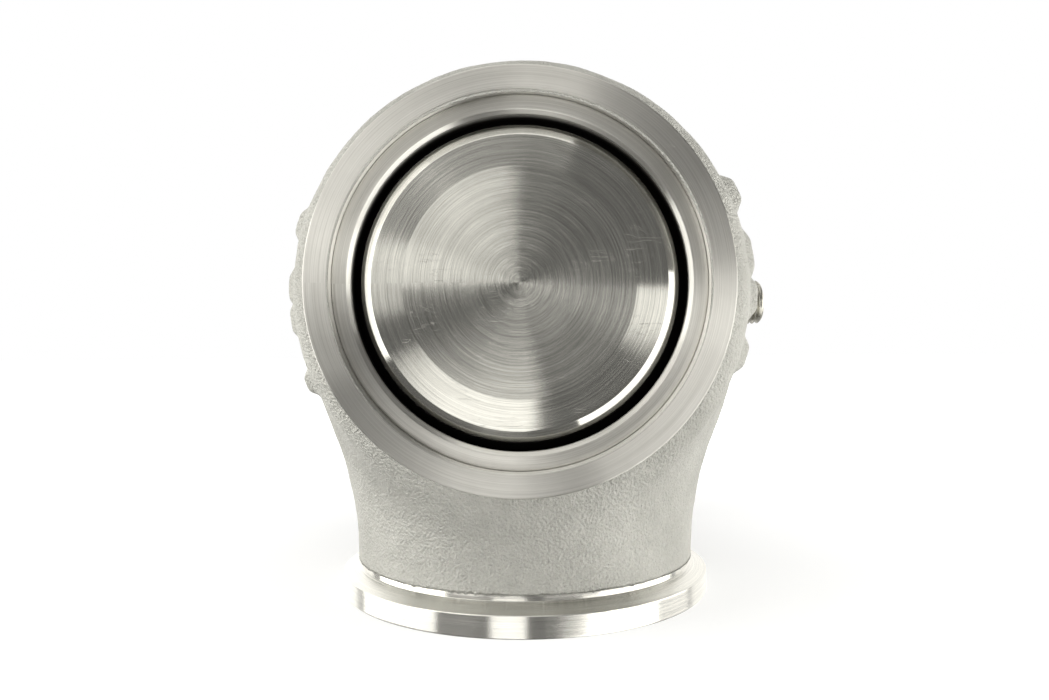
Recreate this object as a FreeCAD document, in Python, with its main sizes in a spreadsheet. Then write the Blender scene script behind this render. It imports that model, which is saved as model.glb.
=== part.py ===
import FreeCAD, Part
import os, math
import Sketcher

# External turbo wastegate, 60 mm class, with V-band flanges.
# Frame: origin at the centre of the inlet flange face. +Y runs along the valve
# axis from the inlet towards the actuator, +Z is up, the outlet points down (-Z).
# All lengths are in millimetres.

V = FreeCAD.Vector
doc = FreeCAD.newDocument("turbo_wastegate")

# ---------------------------------------------------------------- dimensions
VALUES = [
    # inlet V-band flange
    ("inlet_lip_radius", 39.0, "outside radius of the inlet V-band flange"),
    ("inlet_lip_width", 4.0, "cylindrical part of the inlet lip"),
    ("inlet_taper_end", 5.0, "where the 20 degree clamp taper meets the groove"),
    ("groove_radius", 36.9, "floor radius of the inlet clamp groove"),
    ("groove_end", 10.0, "rear wall of the inlet clamp groove"),
    ("register_radius", 34.4, "counterbore that locates the mating flange and the seat"),
    ("register_depth", 10.0, "depth of that counterbore"),
    ("throat_radius", 33.2, "hole behind the seat that the valve head passes"),
    ("throat_end", 13.5, "start of the valve chamber"),
    # cast body
    ("shoulder_radius", 45.3, "body radius just behind the clamp groove"),
    ("shoulder_y", 15.6, "where the front shoulder reaches that radius"),
    ("body_radius", 47.4, "largest radius of the cast body"),
    ("body_mid_y", 44.0, "where the body is largest"),
    ("rear_flange_radius", 33.0, "actuator mounting flange"),
    ("rear_flange_y", 84.0, "front of the mounting flange"),
    ("mount_face_y", 92.0, "rear face of the casting"),
    ("rear_neck_radius", 20.0, "heat choke between the body and the mounting flange"),
    ("chamber_radius", 42.9, "inside of the valve chamber"),
    ("boss_radius", 11.0, "stem boss inside the chamber"),
    ("boss_y", 38.0, "front of the stem boss"),
    ("guide_hole_radius", 8.0, "hole for the valve guide"),
    # outlet
    ("outlet_y", 47.3, "outlet axis, behind the inlet face"),
    ("outlet_lip_radius", 41.9, "outside radius of the outlet V-band flange"),
    ("outlet_lip_top", -61.5, "top of the cylindrical lip"),
    ("outlet_face_z", -65.9, "outlet flange face"),
    ("outlet_taper_radius", 38.5, "foot of the 20 degree clamp taper"),
    ("outlet_taper_z", -60.3, "height of that foot"),
    ("outlet_band_radius", 37.7, "turned band above the taper"),
    ("outlet_band_z", -58.7, "top of the turned band"),
    ("outlet_bore_radius", 34.5, "outlet bore"),
    ("outlet_bore_top", -14.0, "top of the outlet bore inside the body"),
    ("neck_depth_half", 37.8, "half size of the neck along Y"),
    # seat and valve
    ("seat_face_y", 2.4, "seat ring face below the inlet face"),
    ("seat_outer_radius", 34.35, "seat ring outside"),
    ("seat_bore_radius", 31.4, "seat ring bore"),
    ("valve_face_y", 2.1, "valve face below the inlet face"),
    ("valve_flat_radius", 27.1, "flat of the valve face"),
    ("valve_nose_radius", 29.45, "nose of the valve"),
    ("valve_head_radius", 32.7, "valve head"),
    ("stem_radius", 5.0, "valve stem"),
    ("stem_shoulder_y", 110.0, "shoulder that carries the diaphragm plates"),
    ("stem_end_y", 126.0, "end of the threaded stem"),
    ("thread_radius", 4.0, "stem thread, M8"),
    ("running_gap", 0.05, "radial clearance of the stem in its guides"),
    ("valve_lift", 14.0, "travel of the valve"),
    # actuator
    ("gasket_thickness", 1.2, "heat gasket"),
    ("hub_radius", 34.0, "hub of the actuator base"),
    ("base_floor_y", 108.5, "floor of the lower air chamber"),
    ("base_flange_y", 110.0, "underside of the base rim"),
    ("clamp_y", 118.0, "face that clamps the diaphragm"),
    ("rim_radius", 49.5, "rim of the base and of the cap"),
    ("air_chamber_radius", 36.3, "bore of the air chambers"),
    ("rubber_thickness", 1.5, "diaphragm"),
    ("cap_flange_thickness", 5.5, "flange of the cap"),
    ("cap_wall_radius", 39.8, "outside of the cap"),
    ("cap_inner_top", 156.0, "inside top of the cap"),
    ("cap_top", 161.0, "top of the cap"),
    ("port_y", 101.7, "port axis on the base"),
    ("cap_port_y", 145.0, "port axis on the cap"),
    ("port_boss_radius", 7.7, "port boss"),
    ("port_face_radius", 44.0, "distance of the port faces from the valve axis"),
    ("port_hole_radius", 4.5, "port thread, M10"),
    ("clock_angle", -2.2, "clocking of the actuator about the valve axis, degrees"),
    ("cap_screw_circle", 44.5, "radius of the cap screw circle"),
    ("base_screw_circle", 25.0, "radius of the base screw circle"),
    ("outer_spring_radius", 22.5, "mean radius of the outer spring"),
    ("outer_wire", 4.2, "wire of the outer spring"),
    ("inner_spring_radius", 15.0, "mean radius of the inner spring"),
    ("inner_wire", 3.2, "wire of the inner spring"),
]

sheet = doc.addObject("Spreadsheet::Sheet", "Dimensions")
sheet.set("A1", "name")
sheet.set("B1", "value")
sheet.set("C1", "meaning")
for row, (alias, value, meaning) in enumerate(VALUES, start=2):
    sheet.set("A%d" % row, alias)
    sheet.set("B%d" % row, "%g" % value)
    sheet.setAlias("B%d" % row, alias)
    sheet.set("C%d" % row, meaning)
doc.recompute()


class Dim:
    """A size that knows its value and the expression that binds it to the sheet."""

    def __init__(self, value, text):
        self.value = float(value)
        self.text = text

    @staticmethod
    def of(other):
        return other if isinstance(other, Dim) else Dim(other, "%.6g" % other)

    def __add__(self, other):
        other = Dim.of(other)
        return Dim(self.value + other.value, "(%s + %s)" % (self.text, other.text))

    __radd__ = __add__

    def __sub__(self, other):
        other = Dim.of(other)
        return Dim(self.value - other.value, "(%s - %s)" % (self.text, other.text))

    def __rsub__(self, other):
        return Dim.of(other) - self

    def __mul__(self, other):
        other = Dim.of(other)
        return Dim(self.value * other.value, "(%s * %s)" % (self.text, other.text))

    __rmul__ = __mul__

    def __neg__(self):
        return Dim(-self.value, "(0 - %s)" % self.text)


class Sheet:
    pass


D = Sheet()
for alias, value, meaning in VALUES:
    setattr(D, alias, Dim(value, "Dimensions.%s" % alias))


def num(x):
    return x.value if isinstance(x, Dim) else float(x)


def bind(obj, prop, size):
    """Set a property and tie it to the sheet when the size comes from there."""
    if isinstance(size, Dim):
        obj.setExpression(prop, size.text)


# ------------------------------------------------------------------- helpers
def new_body(label):
    body = doc.addObject("PartDesign::Body", label)
    body.Label = label
    body.AllowCompound = True
    return body


def origin_plane(body, role):
    for feature in body.Origin.OriginFeatures:
        if feature.Role == role:
            return feature
    raise RuntimeError("no origin feature " + role)


def new_sketch(body, name, role="XY_Plane", shift=(0, 0, 0), turn=None):
    """A sketch on one of the body's own origin planes. shift is in the sketch's own axes."""
    sk = body.newObject("Sketcher::SketchObject", name)
    sk.AttachmentSupport = [(origin_plane(body, role), "")]
    sk.MapMode = "FlatFace"
    place = FreeCAD.Placement(V(*[num(c) for c in shift]), FreeCAD.Rotation())
    if turn:
        place = FreeCAD.Placement(V(0, 0, 0), FreeCAD.Rotation(V(*turn[0]), turn[1])).multiply(place)
    sk.AttachmentOffset = place
    if not turn:
        for axis, c in zip("xyz", shift):
            bind(sk, "AttachmentOffset.Base." + axis, c)
    return sk


def outline(sk, points):
    """A closed outline. A point is (u, v), or (u, v, (um, vm)) when an arc through
    (um, vm) leaves it."""
    count = len(points)
    xy = [V(num(p[0]), num(p[1]), 0) for p in points]
    ends = []
    cons = []
    bound = []
    for i, p in enumerate(points):
        a, b = xy[i], xy[(i + 1) % count]
        if len(p) == 3:
            arc = Part.Arc(a, V(num(p[2][0]), num(p[2][1]), 0), b)
            geo = sk.addGeometry(arc, False)
            forward = sk.getPoint(geo, 1).distanceToPoint(a) < 1e-6
            ends.append((geo, 1 if forward else 2, 2 if forward else 1))
            radius = sk.Geometry[geo].Radius
            cons.append(Sketcher.Constraint("Radius", geo, radius))
            bound.append(None)
        else:
            geo = sk.addGeometry(Part.LineSegment(a, b), False)
            ends.append((geo, 1, 2))
    for i in range(count):
        geo, start, end = ends[i]
        nxt = ends[(i + 1) % count]
        cons.append(Sketcher.Constraint("Coincident", geo, end, nxt[0], nxt[1]))
        bound.append(None)
    for i, p in enumerate(points):
        geo, start, end = ends[i]
        for kind, axis, size in (("DistanceX", -2, p[0]), ("DistanceY", -1, p[1])):
            if isinstance(size, (int, float)) and size == 0:
                cons.append(Sketcher.Constraint("PointOnObject", geo, start, axis))
                bound.append(None)
            else:
                cons.append(Sketcher.Constraint(kind, -1, 1, geo, start, num(size)))
                bound.append(size if isinstance(size, Dim) else None)
    first = sk.ConstraintCount
    sk.addConstraint(cons)
    for k, size in enumerate(bound):
        if size is not None:
            sk.setExpression("Constraints[%d]" % (first + k), size.text)
    return sk


def circle(sk, u, v, radius):
    geo = sk.addGeometry(Part.Circle(V(num(u), num(v), 0), V(0, 0, 1), num(radius)), False)
    cons = [Sketcher.Constraint("Radius", geo, num(radius))]
    bound = [radius if isinstance(radius, Dim) else None]
    for kind, axis, size in (("DistanceX", -2, u), ("DistanceY", -1, v)):
        if isinstance(size, (int, float)) and size == 0:
            cons.append(Sketcher.Constraint("PointOnObject", geo, 3, axis))
            bound.append(None)
        else:
            cons.append(Sketcher.Constraint(kind, -1, 1, geo, 3, num(size)))
            bound.append(size if isinstance(size, Dim) else None)
    first = sk.ConstraintCount
    sk.addConstraint(cons)
    for k, size in enumerate(bound):
        if size is not None:
            sk.setExpression("Constraints[%d]" % (first + k), size.text)
    return sk


def ellipse(sk, half_u, half_v):
    """An ellipse about the sketch origin, with bound half sizes."""
    wide = num(half_u) >= num(half_v)
    major = V(num(half_u), 0, 0) if wide else V(0, num(half_v), 0)
    minor = V(0, num(half_v), 0) if wide else V(-num(half_u), 0, 0)
    geo = sk.addGeometry(Part.Ellipse(major, minor, V(0, 0, 0)), False)
    sk.exposeInternalGeometry(geo)
    big, small = (half_u, half_v) if wide else (half_v, half_u)
    first = sk.ConstraintCount
    sk.addConstraint(
        [
            Sketcher.Constraint("Coincident", geo, 3, -1, 1),
            Sketcher.Constraint("Horizontal" if wide else "Vertical", geo + 1),
            Sketcher.Constraint("Distance", geo + 1, 2 * num(big)),
            Sketcher.Constraint("Distance", geo + 2, 2 * num(small)),
        ]
    )
    for k, size in ((2, big), (3, small)):
        if isinstance(size, Dim):
            sk.setExpression("Constraints[%d]" % (first + k), "2 * " + size.text)
    return sk


def volume(body):
    # faces are left as they are made: merging them can spoil a turned body
    if body.Tip is not None and hasattr(body.Tip, "Refine"):
        body.Tip.Refine = False
    doc.recompute()
    return body.Shape.Volume


def must_cut(body, before, what):
    """The body has to lose volume, and no more than the tool holds."""
    after = volume(body)
    tool = body.Tip.AddSubShape.Volume if hasattr(body.Tip, "AddSubShape") else before
    if not before - 1.01 * tool - 1 < after < before - 0.5:
        raise RuntimeError("%s of %s: volume %.1f to %.1f, tool %.1f" % (what, body.Label, before, after, tool))
    return after


def must_add(body, before, what):
    """The body has to gain volume, and no more than the tool holds."""
    after = volume(body)
    tool = body.Tip.AddSubShape.Volume if hasattr(body.Tip, "AddSubShape") else after
    if not before + 0.05 < after < before + 1.01 * tool + 1:
        raise RuntimeError("%s of %s: volume %.1f to %.1f, tool %.1f" % (what, body.Label, before, after, tool))
    return after


def revolve(body, name, sk, cut=False, angle=None, midplane=False):
    kind = "PartDesign::Groove" if cut else "PartDesign::Revolution"
    before = body.Shape.Volume if not body.Shape.isNull() else 0.0
    feature = body.newObject(kind, name)
    feature.Profile = sk
    feature.ReferenceAxis = (sk, ["V_Axis"])
    feature.Angle = 360.0 if angle is None else angle
    if midplane:
        feature.Midplane = True
    (must_cut if cut else must_add)(body, before, name)
    return feature


def pad(body, name, sk, length, reverse=False):
    before = body.Shape.Volume if not body.Shape.isNull() else 0.0
    feature = body.newObject("PartDesign::Pad", name)
    feature.Profile = sk
    feature.Length = num(length)
    bind(feature, "Length", length)
    feature.Reversed = reverse
    must_add(body, before, name)
    return feature


def pocket(body, name, sk, length, reverse=False):
    before = body.Shape.Volume
    feature = body.newObject("PartDesign::Pocket", name)
    feature.Profile = sk
    feature.Length = num(length)
    bind(feature, "Length", length)
    feature.Reversed = reverse
    must_cut(body, before, name)
    return feature


def polar(body, name, features, count):
    """Repeat features about the body's own Y axis."""
    pattern = body.newObject("PartDesign::PolarPattern", name)
    pattern.Originals = features
    pattern.Axis = (origin_plane(body, "Y_Axis"), [""])
    pattern.Angle = 360.0
    pattern.Occurrences = count
    pattern.Refine = False
    before = body.Shape.Volume
    base_volume = features[0].BaseFeature.Shape.Volume if features[0].BaseFeature else 0.0
    body.Tip = pattern
    doc.recompute()
    change = before - base_volume
    gained = body.Shape.Volume - before
    if abs(gained - change * (count - 1)) > 0.08 * abs(change) * count:
        raise RuntimeError("%s of %s: one changes %.2f, the pattern %.2f" % (name, body.Label, change, gained))
    return pattern


def turned(label, points):
    """A piece turned about the valve axis from one closed outline of (radius, y)."""
    body = new_body(label)
    sk = new_sketch(body, label + "_profile")
    outline(sk, points)
    revolve(body, label + "_turned", sk)
    return body


def fillet(body, name, edges, radius):
    feature = body.newObject("PartDesign::Fillet", name)
    feature.Base = (body.Tip, edges)
    feature.Radius = radius
    body.Tip = feature
    doc.recompute()
    return feature


def clocked(body):
    """Pieces of the actuator turn together about the valve axis."""
    body.Placement = FreeCAD.Placement(V(0, 0, 0), FreeCAD.Rotation(V(0, 1, 0), num(D.clock_angle)))
    body.setExpression("Placement.Rotation.Angle", "Dimensions.clock_angle")
    return body


def hexagon(sk, across_flats, spin=0.0):
    r = across_flats / math.sqrt(3.0)
    pts = []
    for k in range(6):
        a = math.radians(60 * k + spin)
        pts.append((round(r * math.cos(a), 5) or 0, round(r * math.sin(a), 5) or 0))
    outline(sk, pts)
    return sk


NODES = []

# the actuator screws sit at 45 degrees on the actuator, so at 45 less the clock angle on the housing
CLOCKED_COS = round(math.cos(math.radians(45.0 - num(D.clock_angle))), 6)
CLOCKED_SIN = round(math.sin(math.radians(45.0 - num(D.clock_angle))), 6)

# ------------------------------------------------------------- valve housing
housing = new_body("valve_housing")
sk = new_sketch(housing, "casting_profile")
outline(
    sk,
    [
        (0, 0),
        (D.inlet_lip_radius - 0.3, 0),
        (D.inlet_lip_radius, 0.3),
        (D.inlet_lip_radius, D.inlet_lip_width),
        (D.groove_radius + 0.6, D.inlet_taper_end - 0.2),
        (D.groove_radius, D.inlet_taper_end + 0.4),
        (D.groove_radius, D.groove_end),
        (D.groove_radius + 2.2, D.groove_end, (43.1, 11.7)),
        (D.shoulder_radius, D.shoulder_y, (46.9, 28.0)),
        (D.body_radius, D.body_mid_y, (46.5, 58.0)),
        (43.2, 69.0, (38.6, 76.2)),
        (31.0, 80.4, (25.2, 82.2)),
        (D.rear_neck_radius, D.rear_flange_y - 0.6),
        (D.rear_neck_radius, D.rear_flange_y),
        (D.rear_flange_radius - 0.6, D.rear_flange_y),
        (D.rear_flange_radius, D.rear_flange_y + 0.6),
        (D.rear_flange_radius, D.mount_face_y - 0.5),
        (D.rear_flange_radius - 0.5, D.mount_face_y),
        (0, D.mount_face_y),
    ],
)
revolve(housing, "casting_turned", sk)

# outlet neck: elliptical sections, wide where they leave the body
NECK = [
    # height, half width along X
    (0.0, 47.2),
    (-12.0, 46.9),
    (-20.0, 46.2),
    (-27.0, 44.7),
    (-34.0, 42.6),
    (-42.0, 40.4),
    (-50.0, 38.9),
    (-58.7, 38.45),
]
sections = []
for k, (height, half) in enumerate(NECK):
    s = new_sketch(housing, "neck_section_%d" % k, "XY_Plane", (0, D.outlet_y, height))
    deep = D.neck_depth_half + (0.7 if k == len(NECK) - 1 else 0.0)
    ellipse(s, half, deep)
    sections.append(s)
doc.recompute()
before = housing.Shape.Volume
neck = housing.newObject("PartDesign::AdditiveLoft", "outlet_neck")
neck.Profile = sections[-1]
neck.Sections = sections[-2::-1]
must_add(housing, before, "outlet neck")

# outlet V-band flange, turned about the outlet axis
sk = new_sketch(housing, "outlet_flange_profile", "YZ_Plane", (D.outlet_y, 0, 0))
outline(
    sk,
    [
        (0, D.outlet_band_z + 3.0),
        (D.outlet_band_radius, D.outlet_band_z + 3.0),
        (D.outlet_band_radius, D.outlet_taper_z + 0.5),
        (D.outlet_taper_radius, D.outlet_taper_z),
        (D.outlet_lip_radius - 0.25, D.outlet_lip_top),
        (D.outlet_lip_radius, D.outlet_lip_top - 0.25),
        (D.outlet_lip_radius, D.outlet_face_z + 0.3),
        (D.outlet_lip_radius - 0.3, D.outlet_face_z),
        (0, D.outlet_face_z),
    ],
)
revolve(housing, "outlet_flange", sk)

# raised cast bars on both sides of the body: angle from horizontal, angular width, height
BARS = [
    (16.7, 9.2, 1.5, 1), (1.8, 8.6, 1.2, 1), (-8.0, 8.4, 1.25, 1), (-22.9, 7.2, 1.7, 1),
    (23.9, 9.6, 2.3, 0), (9.3, 11.2, 1.45, 0), (-3.2, 10.4, 1.75, 0), (-16.2, 9.2, 1.6, 0),
]
for k, (up, wide, high, left) in enumerate(BARS):
    turn = 180.0 + up if left else -up
    s = new_sketch(housing, "bar_profile_%d" % k, "XY_Plane", (0, 0, 0), ((0, 1, 0), turn))
    outline(
        s,
        [
            (D.shoulder_radius - 3.0, 15.0),
            (D.shoulder_radius - 1.2, 14.2),
            (D.shoulder_radius + high, 18.0, (46.9 + high, 30.0)),
            (D.body_radius + high, D.body_mid_y, (46.9 + high, 54.0)),
            (45.6 + high, 62.0),
            (43.0, 64.5),
        ],
    )
    revolve(housing, "cast_bar_%d" % k, s, angle=wide, midplane=True)

# gas passages
sk = new_sketch(housing, "chamber_profile")
outline(
    sk,
    [
        (0, -1.0),
        (D.register_radius + 1.25, -1.0),
        (D.register_radius, 0.25),
        (D.register_radius, D.register_depth),
        (D.throat_radius, D.register_depth),
        (D.throat_radius, D.throat_end),
        (37.0, 16.0, (40.9, 18.6)),
        (D.chamber_radius, 23.0),
        (D.chamber_radius, 58.0, (41.2, 65.0)),
        (36.5, 70.0, (29.0, 74.4)),
        (D.boss_radius + 7.0, 76.0, (13.2, 74.0)),
        (D.boss_radius, 69.0),
        (D.boss_radius - 1.2, D.boss_y),
        (0, D.boss_y),
    ],
)
revolve(housing, "valve_chamber", sk, cut=True)

sk = new_sketch(housing, "outlet_bore_profile", "YZ_Plane", (D.outlet_y, 0, 0))
outline(
    sk,
    [
        (0, D.outlet_face_z - 1.0),
        (D.outlet_bore_radius + 1.4, D.outlet_face_z - 1.0),
        (D.outlet_bore_radius, D.outlet_face_z + 0.4),
        (D.outlet_bore_radius, D.outlet_bore_top - 6.0, (32.6, -15.8)),
        (27.5, D.outlet_bore_top),
        (0, D.outlet_bore_top),
    ],
)
revolve(housing, "outlet_passage", sk, cut=True)

# guide hole with its circlip pocket
sk = new_sketch(housing, "guide_hole_profile")
outline(
    sk,
    [
        (0, D.boss_y - 1.0),
        (D.guide_hole_radius, D.boss_y - 1.0),
        (D.guide_hole_radius, 86.0),
        (12.0, 86.0),
        (12.0, 90.4),
        (12.9, 90.4),
        (12.9, 91.4),
        (12.0, 91.4),
        (12.0, D.mount_face_y + 1.0),
        (0, D.mount_face_y + 1.0),
    ],
)
revolve(housing, "guide_hole", sk, cut=True)

# four tapped holes for the actuator
sk = new_sketch(housing, "mount_hole_profile", "XZ_Plane", (0, 0, -D.mount_face_y))
circle(sk, D.base_screw_circle * CLOCKED_COS, D.base_screw_circle * CLOCKED_SIN, 3.0)
hole = pocket(housing, "mount_hole", sk, 10.0, reverse=True)
polar(housing, "mount_holes", [hole], 4)
NODES.append(housing)

# ---------------------------------------------------------------- valve seat
seat = turned(
    "valve_seat",
    [
        (D.seat_bore_radius + 0.35, D.seat_face_y),
        (D.seat_outer_radius - 0.3, D.seat_face_y),
        (D.seat_outer_radius, D.seat_face_y + 0.3),
        (D.seat_outer_radius, D.register_depth),
        (D.seat_bore_radius + 1.3, D.register_depth),
        (D.seat_bore_radius, D.register_depth - 1.3),
        (D.seat_bore_radius, D.seat_face_y + 0.35),
    ],
)
NODES.append(seat)

# --------------------------------------------------------------------- valve
valve = turned(
    "valve",
    [
        (0, D.valve_face_y + 0.45),
        (0.6, D.valve_face_y),
        (D.valve_flat_radius, D.valve_face_y),
        (D.valve_flat_radius + 1.35, D.valve_face_y + 1.1),
        (D.valve_flat_radius + 1.85, D.valve_face_y + 2.1),
        (D.valve_nose_radius, D.valve_face_y + 3.1),
        (D.valve_nose_radius, 6.96),
        (D.valve_head_radius, 10.21),
        (D.valve_head_radius, 12.0),
        (D.valve_head_radius - 1.4, 13.0, (13.4, 15.9)),
        (D.stem_radius, 23.0),
        (D.stem_radius, D.stem_shoulder_y - 0.3),
        (D.stem_radius - 0.3, D.stem_shoulder_y),
        (D.thread_radius, D.stem_shoulder_y),
        (D.thread_radius, D.stem_end_y - 0.8),
        (D.thread_radius - 0.8, D.stem_end_y),
        (0, D.stem_end_y),
    ],
)
NODES.append(valve)

# --------------------------------------------------------------- valve guide
guide_bore = D.stem_radius + D.running_gap
guide = turned(
    "valve_guide",
    [
        (guide_bore, D.boss_y + 0.5),
        (guide_bore + 0.5, D.boss_y),
        (D.guide_hole_radius - 0.4, D.boss_y),
        (D.guide_hole_radius, D.boss_y + 0.4),
        (D.guide_hole_radius, 86.0),
        (11.6, 86.0),
        (11.6, 88.3),
        (guide_bore, 88.3),
    ],
)
NODES.append(guide)

guide_seal = turned(
    "guide_seal_ring",
    [
        (guide_bore, 88.3),
        (11.7, 88.3),
        (11.7, 90.4),
        (guide_bore, 90.4),
    ],
)
NODES.append(guide_seal)


def circlip(label, inner, outer, low, high, gap_degrees):
    """An internal circlip: an open ring."""
    body = new_body(label)
    s = new_sketch(body, label + "_section")
    outline(s, [(inner, low), (outer, low), (outer, high), (inner, high)])
    revolve(body, label + "_ring", s, angle=360.0 - gap_degrees)
    return body


guide_clip = circlip("guide_circlip", 9.6, 12.85, 90.42, 91.38, 34.0)
NODES.append(guide_clip)

# --------------------------------------------------------------- heat gasket
gasket = turned(
    "heat_gasket",
    [
        (12.2, D.mount_face_y),
        (D.rear_flange_radius, D.mount_face_y),
        (D.rear_flange_radius, D.mount_face_y + D.gasket_thickness),
        (12.2, D.mount_face_y + D.gasket_thickness),
    ],
)
sk = new_sketch(gasket, "gasket_hole_profile", "XZ_Plane", (0, 0, -D.mount_face_y))
circle(sk, D.base_screw_circle * CLOCKED_COS, D.base_screw_circle * CLOCKED_SIN, 3.3)
hole = pocket(gasket, "gasket_hole", sk, 3.0)
polar(gasket, "gasket_holes", [hole], 4)
NODES.append(gasket)

# ------------------------------------------------------------- actuator base
base_y = D.mount_face_y + D.gasket_thickness
base = new_body("actuator_base")
sk = new_sketch(base, "base_profile")
outline(
    sk,
    [
        (5.4, base_y),
        (D.hub_radius - 1.0, base_y),
        (D.hub_radius, base_y + 1.0),
        (D.hub_radius, D.base_flange_y - 10.5),
        (D.rim_radius - 3.0, D.base_flange_y - 1.6),
        (D.rim_radius, D.base_flange_y + 1.2),
        (D.rim_radius, D.clamp_y - 0.5),
        (D.rim_radius - 0.5, D.clamp_y),
        (D.air_chamber_radius, D.clamp_y),
        (D.air_chamber_radius, D.base_floor_y + 2.0, (35.7, 109.1)),
        (D.air_chamber_radius - 2.0, D.base_floor_y),
        (D.guide_hole_radius, D.base_floor_y),
        (D.guide_hole_radius, base_y + 1.4),
        (5.4, base_y + 1.4),
    ],
)
revolve(base, "base_turned", sk)
# port bosses
sk = new_sketch(base, "port_boss_profile", "YZ_Plane", (0, 0, 25.0))
circle(sk, D.port_y, 0, D.port_boss_radius)
boss = pad(base, "port_boss", sk, D.port_face_radius - 25.0)
polar(base, "port_bosses", [boss], 4)
# spot faces under the rim, so that the washers and hexagons clear it
sk = new_sketch(base, "port_seat_profile", "YZ_Plane", (0, 0, D.port_face_radius + 6.0))
circle(sk, D.port_y, 0, D.port_boss_radius - 0.2)
spot = pocket(base, "port_seat", sk, 6.0)
polar(base, "port_seats", [spot], 4)
# port holes
sk = new_sketch(base, "port_hole_profile", "YZ_Plane", (0, 0, D.port_face_radius))
circle(sk, D.port_y, 0, D.port_hole_radius)
port_hole = pocket(base, "port_hole", sk, 15.0)
polar(base, "port_holes", [port_hole], 4)
# water jacket, closed by the heat gasket
sk = new_sketch(base, "jacket_profile")
outline(sk, [(12.8, base_y - 0.5), (18.6, base_y - 0.5), (18.6, 101.5), (12.8, 101.5)])
revolve(base, "water_jacket", sk, cut=True)
# two water drillings from the upper and lower ports to the jacket
sk = new_sketch(base, "water_drilling_profile", "XY_Plane", (0, 0, 15.0))
circle(sk, 0, 99.0, 1.7)
water = pocket(base, "water_drilling", sk, 20.0, reverse=True)
polar(base, "water_drillings", [water], 2)
# air drillings from the side ports to the lower air chamber
sk = new_sketch(base, "air_drilling_profile", "XZ_Plane", (0, 0, -(D.base_floor_y + 1.0)))
circle(sk, 31.0, 0, 1.6)
air = pocket(base, "air_drilling", sk, 7.0, reverse=True)
polar(base, "air_drillings", [air], 2)
# counterbored screw holes to the housing
sk = new_sketch(base, "base_screw_seat_profile", "XZ_Plane", (0, 0, -(D.base_floor_y + 1.0)))
circle(sk, D.base_screw_circle * 0.70711, D.base_screw_circle * 0.70711, 5.4)
seat_cut = pocket(base, "base_screw_seat", sk, 8.0, reverse=True)
sk = new_sketch(base, "base_screw_hole_profile", "XZ_Plane", (0, 0, -(D.base_floor_y - 5.0)))
circle(sk, D.base_screw_circle * 0.70711, D.base_screw_circle * 0.70711, 3.3)
hole = pocket(base, "base_screw_hole", sk, 14.0, reverse=True)
polar(base, "base_screw_holes", [seat_cut, hole], 4)
# tapped holes for the cap screws, and the seal circlip groove
sk = new_sketch(base, "cap_tap_profile", "XZ_Plane", (0, 0, -(D.clamp_y + 1.0)))
circle(sk, D.cap_screw_circle * 0.92388, D.cap_screw_circle * 0.38268, 2.5)
tap = pocket(base, "cap_tap", sk, 12.0, reverse=True)
polar(base, "cap_taps", [tap], 8)
sk = new_sketch(base, "seal_groove_profile")
outline(sk, [(7.0, 106.9), (8.8, 106.9), (8.8, 107.9), (7.0, 107.9)])
revolve(base, "seal_groove", sk, cut=True)
clocked(base)
NODES.append(base)


# -------------------------------------------------------------------- screws
def socket_screws(label, circle_radius, at_angle, seat_y, head_radius, head_height, shank_radius, tip_y, key, count):
    """Socket cap screws parallel to the valve axis, heads towards +Y."""
    body = new_body(label)
    a = math.radians(at_angle)
    s = new_sketch(body, label + "_profile", "XY_Plane", (0, 0, 0))
    # the screw is turned about its own axis, so the sketch moves there
    s.AttachmentOffset = FreeCAD.Placement(
        V(num(circle_radius) * math.cos(a), 0, num(circle_radius) * math.sin(a)), FreeCAD.Rotation()
    )
    bind(s, "AttachmentOffset.Base.x", circle_radius * round(math.cos(a), 6))
    bind(s, "AttachmentOffset.Base.z", circle_radius * round(math.sin(a), 6))
    outline(
        s,
        [
            (0, tip_y),
            (shank_radius - 0.5, tip_y),
            (shank_radius, tip_y + 0.5),
            (shank_radius, seat_y),
            (head_radius, seat_y),
            (head_radius, seat_y + head_height - 0.5),
            (head_radius - 0.5, seat_y + head_height),
            (0, seat_y + head_height),
        ],
    )
    one = revolve(body, label + "_one", s)
    # hexagon socket
    h = new_sketch(body, label + "_socket", "XZ_Plane")
    h.AttachmentOffset = FreeCAD.Placement(
        V(num(circle_radius) * math.cos(a), num(circle_radius) * math.sin(a), -(num(seat_y) + head_height)),
        FreeCAD.Rotation(),
    )
    bind(h, "AttachmentOffset.Base.x", circle_radius * round(math.cos(a), 6))
    bind(h, "AttachmentOffset.Base.y", circle_radius * round(math.sin(a), 6))
    bind(h, "AttachmentOffset.Base.z", -(seat_y + head_height))
    hexagon(h, key)
    two = pocket(body, label + "_key", h, head_height * 0.6, reverse=True)
    polar(body, label + "_all", [one, two], count)
    return body


base_screws = socket_screws("base_screws", D.base_screw_circle, 45.0, D.base_floor_y - 7.0, 5.0, 6.0, 3.0, 84.8, 5.0, 4)
clocked(base_screws)
NODES.append(base_screws)
cap_screws = socket_screws(
    "cap_screws", D.cap_screw_circle, 22.5,
    D.clamp_y + D.rubber_thickness + D.cap_flange_thickness, 4.25, 5.0, 2.5, 110.6, 4.0, 8,
)
clocked(cap_screws)
NODES.append(cap_screws)

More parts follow.
